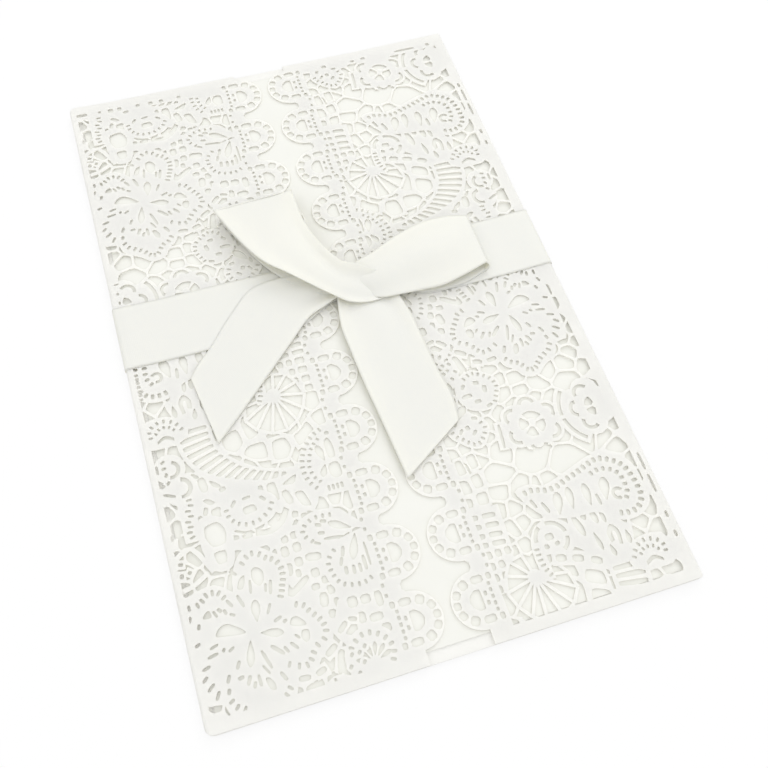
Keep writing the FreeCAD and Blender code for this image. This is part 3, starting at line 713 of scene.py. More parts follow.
def curl(lace):
    """Curl with small rungs above the star, and a band of cells that leads to it."""
    lace.strip([(31.6, 112.0), (31.8, 108.0), (31.6, 104.0), (30.2, 100.8), (26.8, 99.4), (23.6, 101.2),
                (23.4, 104.4), (25.4, 106.4)], 3.0, 3)
    lace.disc((27.6, 103.2), 3.6)
    bead_row(lace, [(32.0, 104.4), (32.1, 105.7), (32.1, 107.0), (31.9, 108.3), (31.6, 109.6),
                    (31.0, 110.9)], 1.6, 0.7)
    hook(lace, (27.6, 102.8), 4.3, -60.0, 0.0, 1.0)
    hook(lace, (27.4, 102.8), 4.3, -170.0, -85.0, 1.0)
    hook(lace, (27.4, 102.8), 4.3, 120.0, 172.0, 1.0)
    pebble(lace, (27.9, 102.3), 2.2, 1.7, 0)
    pebble(lace, (26.6, 104.3), 1.3, 1.0, 20)
    pebble(lace, (29.4, 104.4), 1.2, 1.2, 0)
    lace.strip([(16.0, 112.6), (19.4, 110.6), (24.0, 108.8), (29.4, 107.4)], 3.6, 3)
    pebble(lace, (27.2, 107.9), 2.6, 1.8, -14)
    pebble(lace, (23.3, 109.1), 2.8, 1.8, -18)
    pebble(lace, (19.2, 110.8), 2.8, 1.8, -26)


def star(lace):
    """Rays round a centre, out to the open cells that ring it."""
    centre = (34.8, 110.3)
    rays = ((-78.0, 6.0), (-48.0, 7.0), (-18.0, 7.0), (12.0, 8.0), (40.0, 8.4), (64.0, 9.4), (84.0, 10.4),
            (106.0, 10.6), (128.0, 10.4), (150.0, 10.0), (172.0, 8.0), (200.0, 6.0))
    tips = [polar(centre, reach, turn) for turn, reach in rays]
    lace.cut([polar(centre, reach + 0.2, turn) for turn, reach in rays])
    lace.disc(centre, 1.9)
    for tip in tips:
        lace.strip([centre, tip], 0.75, 1)
    for a, b in zip(tips, tips[1:]):
        lace.strip([a, b], 0.8, 1)


def square_net(lace):
    """Small grid beside the dotted bar, under rungs."""
    lace.paper([(36.8, 91.0), (47.0, 91.0), (47.0, 111.6), (41.0, 111.0), (37.4, 103.0)])
    for drop in (92.6, 95.0, 97.4, 99.6):
        lace.cell((38.2, drop), (41.6, drop - 0.4), (41.7, drop + 1.0), (38.4, drop + 1.3))
        lace.cell((42.6, drop - 0.4), (45.8, drop - 0.5), (45.8, drop + 0.9), (42.7, drop + 1.0))
    for i in range(3):
        for j in range(4):
            lace.bead((41.1 + 0.15 * j - 2.4 * (i - 1), 102.4 + 2.75 * j), 4.0, 1.9, 1.6)
            lace.bead((44.6, 102.4 + 2.75 * j), 4.0, 1.9, 1.3)


OPEN_CELLS = [
    [(41.4, 111.8), (45.8, 111.8), (45.9, 115.6), (43.4, 117.4), (41.2, 115.0)],
    [(42.0, 118.4), (45.9, 116.8), (45.9, 121.4), (43.6, 121.8)],
    [(36.6, 122.6), (39.0, 121.4), (41.0, 119.4), (42.4, 122.8), (39.6, 124.6), (37.4, 125.8)],
    [(31.0, 122.4), (34.6, 122.2), (35.6, 125.4), (33.8, 128.0), (30.4, 127.6)],
    [(25.0, 122.0), (29.4, 121.8), (29.4, 126.6), (25.8, 126.0), (23.4, 124.0)],
    [(19.0, 118.2), (23.4, 116.4), (24.4, 120.8), (22.0, 123.0), (19.4, 121.4)],
    [(24.6, 114.8), (27.6, 112.6), (29.6, 114.8), (28.6, 119.6), (25.6, 120.8)],
    [(18.8, 113.6), (22.8, 111.8), (24.0, 114.8), (19.0, 117.0)],
    [(41.6, 77.6), (43.4, 77.8), (43.4, 81.8), (41.0, 81.6)],
    [(37.8, 76.8), (40.2, 77.2), (39.8, 81.0), (37.6, 80.6)],
    [(38.4, 82.0), (41.0, 82.6), (40.6, 86.0), (38.2, 85.8)],
    [(41.8, 83.2), (44.6, 82.8), (44.6, 86.6), (41.4, 86.8)],
    [(38.2, 87.0), (41.2, 87.2), (41.4, 90.2), (38.6, 90.4)],
    [(42.4, 87.8), (45.6, 87.6), (45.6, 90.0), (42.6, 90.2)],
    [(44.6, 77.0), (46.0, 77.0), (46.0, 81.6), (44.7, 81.6)],
]


def open_cells(lace):
    """Large open cells of the ground between the star, the medallion and the crescent."""
    for corners in OPEN_CELLS:
        middle = [sum(p[k] for p in corners) / len(corners) for k in (0, 1)]
        lace.paper([(u + (u - middle[0]) * 0.32, v + (v - middle[1]) * 0.32) for u, v in corners])
    for corners in OPEN_CELLS:
        lace.cell(*corners)


def medallion(lace):
    half_medallion(lace, 131.8)


REPEAT_MOTIFS = [pebbles, small_roses, open_cells, crescent, windows, hanging_fan, fold_fan, fold_roses,
                 six_lobed_flower, fold_flower, feather, scroll, square_net, star, curl, medallion, leaf_pair,
                 large_flower]


def repeat_shapes():
    """One repeat of the lace between the fold and the bar: the net's shapes, then each motif's."""
    groups = []
    net = Lace()
    for cell in net_cells():
        net.cut(cell)
    groups.append(net.shapes)
    for motif in REPEAT_MOTIFS:
        lace = Lace()
        motif(lace)
        groups.append(lace.shapes)
    return groups
# ------------------------------------------------------------------ scalloped edge of a flap

# Plain card along the folds, the top and the bottom.
LEFT_FOLD_MARGIN = 1.9
RIGHT_FOLD_MARGIN = 3.3
TOP_MARGIN = 4.8
LEFT_BOTTOM_MARGIN = 3.0
RIGHT_BOTTOM_MARGIN = 2.8
SLIVER = 1.3
# Walls this near the top or bottom are the sheet's own rim, and take the darker colour of painted shade.
RIM = 2.05


def edge_column(lace, reach):
    """Rosettes down the free edge of a flap, with a dot in the bar between them."""
    for i in range(ROSETTES):
        heart = ROSETTE_TOP + ROSETTE_STEP * i
        rosette(lace, (reach - 6.9, heart))
        if i < ROSETTES - 1:
            lace.bead((reach - 11.4, heart + 6.9), 0.0, 1.0, 0.85)
            lace.bead((reach - 11.3, heart + 9.4), 0.0, 0.9, 0.8)


def rosette(lace, centre):
    """Round half flower on the scalloped edge: a ring of rounded cells round a half-moon window."""
    u, v = centre
    for way in (-1, 1):
        for over, down, across, wide, turn in ((-3.8, 4.8, 1.6, 1.25, 0.0), (-0.8, 4.7, 1.9, 3.0, 0.0),
                                               (2.75, 4.25, 2.3, 2.2, -25.0), (5.0, 2.4, 1.9, 2.1, -60.0),
                                               (-1.7, 1.1, 1.1, 0.8, 0.0), (-3.2, 1.6, 1.0, 0.8, 0.0),
                                               (-3.2, 3.1, 0.9, 0.8, 0.0)):
            lace.bead((u + over, v + way * down), way * turn, across, wide)
    lace.bead((u + 5.6, v), 0.0, 1.9, 1.8)
    lace.bead((u - 3.2, v), 0.0, 1.0, 0.8)
    lace.cut(rounded([(u - 0.7, v - 2.3), (u + 0.7, v - 2.5), (u + 2.1, v - 1.4), (u + 2.6, v),
                      (u + 2.1, v + 1.4),
                      (u + 0.7, v + 2.5), (u - 0.7, v + 2.3)], 0.2))


def scalloped_side(reach):
    """Points down the free edge of a flap, round each rosette and in to the web between them."""
    centre_u = reach - 6.9
    web_u = reach - 7.4
    points = []
    for i in range(ROSETTES):
        heart = ROSETTE_TOP + ROSETTE_STEP * i
        turns = [-88.0 + 176.0 * k / 22 for k in range(23)]
        if i:
            points.append((web_u, heart - 7.7))
        points += [(centre_u + 6.9 * math.cos(math.radians(t)), heart + 6.9 * math.sin(math.radians(t)))
                   for t in turns]
        if i < ROSETTES - 1:
            points.append((web_u, heart + 7.7))
    return points


# Small cells above the lace, along the top edge of each flap: place, width and height.
LEFT_TOP = [((3.4, 3.6), 3.2, 1.2), ((8.7, 3.4), 0.9, 0.9), ((12.0, 3.6), 1.7, 1.6), ((14.7, 3.6), 1.3, 1.6),
            ((20.3, 3.7), 1.2, 1.3), ((24.2, 3.8), 1.4, 1.4), ((27.5, 3.8), 1.3, 1.3),
            ((33.0, 3.7), 1.2, 1.2)]
RIGHT_TOP = [((13.4, 3.4), 6.6, 0.9), ((5.6, 3.4), 1.1, 1.2), ((27.4, 3.5), 1.4, 1.0),
             ((31.0, 3.8), 1.3, 1.0),
             ((40.4, 3.7), 1.6, 1.2)]
# Small cells down each fold, in the same way.
LEFT_FOLD = [((2.3, 95.0 + 1.2 * i), 1.0, 0.8) for i in range(7)]
LEFT_FOLD += [((2.4, 66.2), 1.3, 0.6), ((2.3, 69.3), 0.7, 0.9), ((2.3, 72.2), 0.6, 1.1),
              ((2.3, 74.4), 0.7, 0.8)]
RIGHT_FOLD = [((1.8, 27.2), 0.8, 4.8), ((1.8, 33.2), 0.8, 4.8), ((1.8, 154.2), 0.8, 4.8),
              ((1.8, 160.2), 0.8, 4.8)]
RIGHT_FOLD += [((1.9, v), 0.8, 1.7) for v in (23.0, 42.5, 47.0, 168.5, 173.5)]


def cut_short(outline, fold_margin, bottom_margin, field_end):
    """Whether the margins would leave only a sliver of a cell of the net."""
    us, vs = [p[0] for p in outline], [p[1] for p in outline]
    return (max(us) < fold_margin + SLIVER or min(us) > field_end - SLIVER
            or max(vs) < TOP_MARGIN + SLIVER or min(vs) > CARD_HEIGHT - bottom_margin - SLIVER)


def flap_shapes(reach, inset, phase, fold_margin, bottom_margin, margin_cells):
    """Everything cut in one flap, as (paper or not, outline) in painter's order."""
    lace = Lace()
    field_end = reach - 12.2
    for number, group in enumerate(repeat_shapes()):
        for turn in range(-2, 3):
            shift = turn * REPEAT - phase
            for paper, outline in group:
                moved = [(u + inset, v + shift) for u, v in outline]
                seen = max(p[1] for p in moved) > 0.0 and min(p[1] for p in moved) < CARD_HEIGHT
                if seen and not (number == 0 and cut_short(moved, fold_margin, bottom_margin, field_end)):
                    lace.shapes.append((paper, moved))
    # Solid margins and the strips of the free edge.
    lace.paper([(-2.0, -2.0), (reach + 2, -2.0), (reach + 2, TOP_MARGIN), (-2.0, TOP_MARGIN)])
    last = CARD_HEIGHT - bottom_margin
    lace.paper([(-2.0, last), (reach + 2, last), (reach + 2, CARD_HEIGHT + 2), (-2.0, CARD_HEIGHT + 2)])
    lace.paper([(-2.0, -2.0), (fold_margin, -2.0), (fold_margin, CARD_HEIGHT + 2), (-2.0, CARD_HEIGHT + 2)])
    lace.paper([(field_end, -2.0), (reach + 2, -2.0), (reach + 2, CARD_HEIGHT + 2),
                (field_end, CARD_HEIGHT + 2)])
    for place, wide, tall in margin_cells:
        lace.bead(place, 0.0, tall, wide)
    edge_column(lace, reach)
    return lace.shapes
# ------------------------------------------------------------------ the folded lace card

FLAT_END = CARD_WIDTH / 2 - FOLD_RADIUS
BEND = math.pi * (FOLD_RADIUS - SHEET / 2)
FOLD_STEPS = 10
# The flaps rest a little lower away from their folds.
FLAP_SAG = 0.5
SAG_RUN = 12.0


def flap_sag(x):
    """How far a flap rests below its height at the folds."""
    share = max(0.0, min(1.0, (FLAT_END - abs(x)) / SAG_RUN))
    return FLAP_SAG * share * share * (3 - 2 * share)


def sheet_place(s, y, lift):
    """Place in the folded card of a point of the flat sheet; lift is up from its middle, outwards."""
    side = -1.0 if s < 0 else 1.0
    s = abs(s)
    middle = CARD_BOTTOM + SHEET / 2
    if s <= FLAT_END:
        return (side * s, y, middle - lift)
    if s >= FLAT_END + BEND:
        x = FLAT_END - (s - FLAT_END - BEND)
        return (side * x, y, middle + 2 * (FOLD_RADIUS - SHEET / 2) + lift - flap_sag(x))
    angle = (s - FLAT_END) / BEND * math.pi
    radius = FOLD_RADIUS - SHEET / 2
    return (side * (FLAT_END + (radius + lift) * math.sin(angle)), y,
            middle + radius - (radius + lift) * math.cos(angle))


def corner_drop(x, side):
    """How far the rounded corner of the folded card cuts in from its ends at a distance across."""
    radius = LEFT_CORNER if side < 0 else RIGHT_CORNER
    inner = CARD_WIDTH / 2 - radius
    if abs(x) <= inner:
        return 0.0
    return radius - math.sqrt(max(0.0, radius ** 2 - (min(abs(x), inner + radius) - inner) ** 2))


def to_sheet(side, u, v):
    """Point of a flap, given in from the fold and down from the top, on the flat sheet."""
    return (side * (FLAT_END + BEND + u - FOLD_RADIUS), CARD_HEIGHT / 2 - v)


def sheet_outline():
    """Outline of the flat sheet, corners included."""
    def end_run(side, top):
        radius = LEFT_CORNER if side < 0 else RIGHT_CORNER
        stations = [FLAT_END - radius + 0.35 * radius * k for k in range(4)]
        stations = [s for s in stations if s < FLAT_END - 0.05]
        stations += [FLAT_END + BEND * k / FOLD_STEPS for k in range(FOLD_STEPS + 1)]
        stations += [FLAT_END + BEND + 0.3 * k * radius for k in range(1, 4)]
        run = []
        for s in stations:
            x = sheet_place(side * s, 0.0, SHEET / 2)[0]
            edge = CARD_HEIGHT / 2 - corner_drop(x, side)
            run.append((side * s, edge if top else -edge))
        return run

    left = [to_sheet(-1, u, v) for u, v in scalloped_side(LEFT_REACH)]
    right = [to_sheet(1, u, v) for u, v in scalloped_side(RIGHT_REACH)]
    top_left = end_run(-1, True)[::-1]
    top_right = end_run(1, True)
    low_right = end_run(1, False)[::-1]
    low_left = end_run(-1, False)
    left_top = [(left[0][0], CARD_HEIGHT / 2)]
    right_top = [(right[0][0], CARD_HEIGHT / 2)]
    right_low = [(right[-1][0], -CARD_HEIGHT / 2)]
    left_low = [(left[-1][0], -CARD_HEIGHT / 2)]
    return (left_top + top_left + top_right + right_top + right + right_low
            + low_right + low_left + left_low + left[::-1])


def box_of(outline):
    return outline[:, 0].min(), outline[:, 1].min(), outline[:, 0].max(), outline[:, 1].max()


def visible_shapes(shapes):
    """Shapes less those that a later paper patch hides whole."""
    arrays = [(paper, np.array(outline)) for paper, outline in shapes]
    patches = [(i, outline, box_of(outline)) for i, (paper, outline) in enumerate(arrays) if paper]
    kept = []
    for i, (paper, outline) in enumerate(arrays):
        low_x, low_y, high_x, high_y = box_of(outline)
        hidden = False
        for j, patch, (ax, ay, bx, by) in patches:
            if j > i and ax <= low_x and ay <= low_y and bx >= high_x and by >= high_y:
                if inside(outline, patch).all():
                    hidden = True
                    break
        if not hidden:
            kept.append((paper, outline))
    return kept


def is_paper(points, shapes):
    """Whether each point is paper: the last shape that holds it decides."""
    result = np.zeros(len(points), bool)
    for paper, outline in shapes:
        low_x, low_y, high_x, high_y = box_of(outline)
        near = np.nonzero((points[:, 0] >= low_x) & (points[:, 0] <= high_x)
                          & (points[:, 1] >= low_y) & (points[:, 1] <= high_y))[0]
        if len(near):
            hit = inside(points[near], outline)
            result[near[hit]] = paper
    return result


def triangulate(points, edges):
    """Constrained Delaunay triangles through points and edges."""
    found = delaunay_2d_cdt([Vector(p) for p in points], edges, [], 0, 1e-4, False)
    return np.array([tuple(p) for p in found[0]]), np.array([tuple(f) for f in found[2]], int)


def paper_edges(faces, paper):
    """Edges between paper and cut-out, walked with the paper on their left."""
    sides = {}
    for index in np.nonzero(paper)[0]:
        a, b, c = faces[index]
        for edge in ((a, b), (b, c), (c, a)):
            sides[edge] = index
    return [edge for edge in sides if (edge[1], edge[0]) not in sides]


def joined_up(faces, chosen):
    """Groups of the chosen faces that share edges, as lists of face numbers with their rim edges."""
    indices = np.nonzero(chosen)[0]
    sides = {}
    for index in indices:
        a, b, c = faces[index]
        for edge in ((a, b), (b, c), (c, a)):
            sides[edge] = index
    groups, seen = [], set()
    for first in indices:
        if first in seen:
            continue
        seen.add(first)
        group, rim, waiting = [], [], [first]
        while waiting:
            index = waiting.pop()
            group.append(index)
            a, b, c = faces[index]
            for start, end in ((a, b), (b, c), (c, a)):
                other = sides.get((end, start))
                if other is None:
                    rim.append((start, end))
                elif other not in seen:
                    seen.add(other)
                    waiting.append(other)
        groups.append((group, rim))
    return groups


# Holes narrower than this are left uncut.
LEAST_HOLE = 0.3


def fill_slivers(vertices, faces, paper, within):
    """Turns holes too narrow to cut back into paper, and loose islands of paper into hole."""
    for group, rim in joined_up(faces, ~paper & within):
        corners = vertices[faces[group]]
        one, two = corners[:, 1] - corners[:, 0], corners[:, 2] - corners[:, 0]
        area = np.abs(one[:, 0] * two[:, 1] - one[:, 1] * two[:, 0]).sum() / 2
        ends = vertices[np.array(rim)]
        length = np.hypot(*(ends[:, 1] - ends[:, 0]).T).sum()
        if 2 * area < LEAST_HOLE * length:
            paper[group] = True
    sheets = sorted(joined_up(faces, paper), key=lambda found: len(found[0]))
    for group, rim in sheets[:-1]:
        paper[group] = False


# Most times that holes meeting at a point are looked for.
PINCH_PASSES = 6


def cut_sheet(points, edges, shapes, outline):
    """Triangles of the flat sheet with creases at its folds, their centres, and which are paper."""
    for side in (-1, 1):
        for k in range(FOLD_STEPS + 1):
            s = side * (FLAT_END + BEND * k / FOLD_STEPS)
            points += [(s, -CARD_HEIGHT / 2 - 1), (s, CARD_HEIGHT / 2 + 1)]
            edges.append((len(points) - 2, len(points) - 1))
    vertices, faces = triangulate(points, edges)
    centres = vertices[faces].mean(axis=1)
    return vertices, faces, centres, is_paper(centres, shapes) & inside(centres, outline)


def wrap_mesh():
    """The whole card from one flat sheet, cut and then folded."""
    shapes = [(True, sheet_outline())]
    left = flap_shapes(LEFT_REACH, 0.0, 0.0, LEFT_FOLD_MARGIN, LEFT_BOTTOM_MARGIN, LEFT_TOP + LEFT_FOLD)
    right = flap_shapes(RIGHT_REACH, RIGHT_INSET, RIGHT_PHASE, RIGHT_FOLD_MARGIN, RIGHT_BOTTOM_MARGIN,
                        RIGHT_TOP + RIGHT_FOLD)
    outline = np.array(sheet_outline())
    for side, flap in ((-1, left), (1, right)):
        shapes += [(paper, [to_sheet(side, u, v) for u, v in points]) for paper, points in flap]
    shapes = visible_shapes(shapes)

    points, edges = [], []
    for paper, shape in shapes:
        first = len(points)
        count = len(shape)
        points += [tuple(p) for p in shape]
        edges += [(first + i, first + (i + 1) % count) for i in range(count)]
    vertices, faces, centres, paper = cut_sheet(points, edges, shapes, outline)

    # A second pass keeps only the edges that show.
    rims = paper_edges(faces, paper)
    used = sorted({i for edge in rims for i in edge})
    number = {old: new for new, old in enumerate(used)}
    points = [tuple(vertices[i]) for i in used]
    edges = [(number[a], number[b]) for a, b in rims]
    vertices, faces, centres, paper = cut_sheet(points, edges, shapes, outline)

    fill_slivers(vertices, faces, paper, inside(centres, outline))
    # Where two holes meet at a single point, the thinner cut-out corner becomes paper.
    for _ in range(PINCH_PASSES):
        rims = paper_edges(faces, paper)
        seen = {}
        for a, b in rims:
            seen[a] = seen.get(a, 0) + 1
        pinched = [v for v, times in seen.items() if times > 1]
        if not pinched:
            break
        near = np.isin(faces, pinched).any(axis=1) & ~paper
        near &= inside(centres, outline)
        paper |= near
    faces = faces[paper]
    used = np.unique(faces)
    renumber = np.full(len(vertices), -1)
    renumber[used] = np.arange(len(used))
    faces = renumber[faces]
    vertices = vertices[used]

    count = len(vertices)
    outer = [sheet_place(s, y, SHEET / 2) for s, y in vertices]
    inner = [sheet_place(s, y, -SHEET / 2) for s, y in vertices]
    one = vertices[faces[:, 1]] - vertices[faces[:, 0]]
    two = vertices[faces[:, 2]] - vertices[faces[:, 0]]
    area = one[:, 0] * two[:, 1] - one[:, 1] * two[:, 0]
    faces[area < 0] = faces[area < 0][:, ::-1]
    rims = paper_edges(faces, np.ones(len(faces), bool))
    # The sheet's upper side faces out: seen from outside, across runs the other way.
    top = [tuple(int(i) for i in f) for f in faces[:, ::-1]]
    bottom = [tuple(int(i) + count for i in f) for f in faces]
    walls = [(int(a), int(b), int(b) + count, int(a) + count) for a, b in rims]
    return outer + inner, top, bottom, walls


def make_object(name, vertices, faces, materials, slots=None, smooth_faces=False):
    """Mesh object from millimetres."""
    mesh = bpy.data.meshes.new(name)
    mesh.from_pydata([tuple(0.001 * c for c in v) for v in vertices], [], faces)
    for material in materials:
        mesh.materials.append(material)
    if slots is not None:
        mesh.polygons.foreach_set("material_index", slots)
    mesh.polygons.foreach_set("use_smooth", [smooth_faces] * len(mesh.polygons))
    mesh.update()
    obj = bpy.data.objects.new(name, mesh)
    bpy.context.scene.collection.objects.link(obj)
    return obj


# ------------------------------------------------------------------ the satin ribbon

def unit(v):
    """The same direction at length one."""
    size = math.sqrt(sum(c * c for c in v))
    return tuple(c / size for c in v) if size > 1e-9 else (0.0, 0.0, 1.0)


def cross(a, b):
    """Direction square to both."""
    return (a[1] * b[2] - a[2] * b[1], a[2] * b[0] - a[0] * b[2], a[0] * b[1] - a[1] * b[0])


class Cloth:
    """Closed strips of satin gathered into one mesh, with distances along and across for its weave."""

    def __init__(self):
        self.vertices = []
        self.faces = []
        self.weave = []

    def add(self, grid, weave, closed=False):
        """Closes a grid of middle points into a thin solid strip."""
        rows, columns = len(grid), len(grid[0])
        grid = np.array(grid)
        if closed:
            ahead, behind = np.roll(grid, -1, axis=0), np.roll(grid, 1, axis=0)
        else:
            ahead = np.concatenate([grid[1:], grid[-1:]])
            behind = np.concatenate([grid[:1], grid[:-1]])
        over = np.concatenate([grid[:, 1:], grid[:, -1:]],
                              axis=1) - np.concatenate([grid[:, :1], grid[:, :-1]], axis=1)
        normal = np.cross(ahead - behind, over)
        size = np.linalg.norm(normal, axis=2, keepdims=True)
        normal = normal / np.maximum(size, 1e-9)
        half = RIBBON_THICK / 2
        base = len(self.vertices)
        layer = rows * columns
        self.vertices += [tuple(p) for p in (grid + half * normal).reshape(-1, 3)]
        self.vertices += [tuple(p) for p in (grid - half * normal).reshape(-1, 3)]
        self.weave += [w for row in weave for w in row] * 2

        def at(i, j, low=False):
            return base + (i % rows) * columns + j + (layer if low else 0)

        spans = rows if closed else rows - 1
        new = []
        for i in range(spans):
            for j in range(columns - 1):
                new.append((at(i, j), at(i + 1, j), at(i + 1, j + 1), at(i, j + 1)))
                new.append((at(i, j, True), at(i, j + 1, True), at(i + 1, j + 1, True), at(i + 1, j, True)))
            new.append((at(i, 0), at(i, 0, True), at(i + 1, 0, True), at(i + 1, 0)))
            last = columns - 1
            new.append((at(i, last), at(i + 1, last), at(i + 1, last, True), at(i, last, True)))
        if not closed:
            for j in range(columns - 1):
                new.append((at(0, j), at(0, j + 1), at(0, j + 1, True), at(0, j, True)))
                end = rows - 1
                new.append((at(end, j), at(end, j, True), at(end, j + 1, True), at(end, j + 1)))
        self.faces += new


def cloth_grid(rows, along, across):
    """Grid of points through control rows: both edges, then bulge, and depth, count and start of pleats."""
    flat = [tuple(left) + tuple(right) + tuple(rest) for left, right, rest in rows]
    steps = max(2, along // (len(rows) - 1))
    curve = smooth(flat, steps)
    grid, weave = [], []
    gone = 0.0
    for i, row in enumerate(curve):
        left, right = row[0:3], row[3:6]
        bulge, pleat, count, start = row[6:10]
        a, b = curve[max(i - 1, 0)], curve[min(i + 1, len(curve) - 1)]
        run = tuple((b[k] + b[k + 3] - a[k] - a[k + 3]) / 2 for k in range(3))
        span = tuple(r - l for l, r in zip(left, right))
        up = unit(cross(span, run))
        if i:
            before = curve[i - 1]
            gone += math.sqrt(sum(((row[k] + row[k + 3] - before[k] - before[k + 3]) / 2) ** 2
                                  for k in range(3)))
        line, marks = [], []
        for j in range(across + 1):
            w = j / across
            lift = bulge * 4 * w * (1 - w)
            lift += pleat * math.sin(2 * math.pi * (count * w + start)) * min(1.0, 6 * w, 6 * (1 - w))
            line.append(tuple(l + w * s + lift * u for l, s, u in zip(left, span, up)))
            marks.append((gone, w * RIBBON_WIDTH))
        grid.append(line)
        weave.append(marks)
    return grid, weave


# The band gathers under the knot.
KNOT_PINCH = 0.58
KNOT_REACH = 14.0
# Above this height the band lies over the flaps.
BAND_FRONT = 1.5
BAND_COLUMNS = 24


def band(cloth):
    """Loop of ribbon round the closed card."""
    half = CARD_WIDTH / 2 + RIBBON_CLEARANCE + RIBBON_THICK / 2
    low = RIBBON_THICK / 2
    high = CARD_TOP + RIBBON_CLEARANCE + RIBBON_THICK / 2
    bend = (high - low) / 2
    path = [(-half + bend + (2 * half - 2 * bend) * i / 60, high) for i in range(61)]
    path += [(half - bend + bend * math.sin(math.pi * i / 10),
              high - bend + bend * math.cos(math.pi * i / 10))
             for i in range(1, 10)]
    path += [(half - bend - (2 * half - 2 * bend) * i / 30, low) for i in range(31)]
    path += [(-half + bend - bend * math.sin(math.pi * i / 10),
              low + bend - bend * math.cos(math.pi * i / 10))
             for i in range(1, 10)]
    grid, weave = [], []
    gone = 0.0
    for i, (x, z) in enumerate(path):
        before = path[i - 1]
        gone += math.hypot(x - before[0], z - before[1]) if i else 0.0
        near = math.exp(-((x - KNOT_X) / KNOT_REACH) ** 4) if z > BAND_FRONT else 0.0
        half_width = RIBBON_WIDTH / 2 * (1.0 - KNOT_PINCH * near)
        z -= flap_sag(x) if z > BAND_FRONT else 0.0
        line, marks = [], []
        for j in range(BAND_COLUMNS + 1):
            w = j / BAND_COLUMNS
            line.append((x, BAND_Y + half_width * (1 - 2 * w), z))
            marks.append((gone, w * RIBBON_WIDTH))
        grid.append(line)
        weave.append(marks)
    cloth.add(grid, weave, closed=True)


def at(x, v, height):
    """Point of the bow: across from the left fold, down from the top edge and up from the card."""
    x -= CARD_WIDTH / 2
    return (x, CARD_HEIGHT / 2 - v, CARD_TOP + RIBBON_CLEARANCE + RIBBON_THICK / 2 + height - flap_sag(x))


def bow_rows(rows):
    """Control rows: left edge, right edge, (bulge, pleat depth, pleats, start of pleats)."""
    return [(at(*left), at(*right), rest) for left, right, rest in rows]


def loop_end(lower, upper, out, swell):
    """Rows round the end of a loop, from its lower layer to its upper one."""
    rows = []
    for i in range(1, 6):
        angle = math.pi * i / 6
        share = (1 - math.cos(angle)) / 2
        left = tuple(a + share * (b - a) for a, b in zip(lower[0], upper[0]))
        right = tuple(a + share * (b - a) for a, b in zip(lower[1], upper[1]))
        reach = swell * math.sin(angle)
        left = (left[0] + out[0] * reach, left[1] + out[1] * reach, left[2])
        right = (right[0] + out[0] * reach, right[1] + out[1] * reach, right[2])
        rows.append((left, right, (0.0, 0.0, 1.6, 0.1)))
    return rows


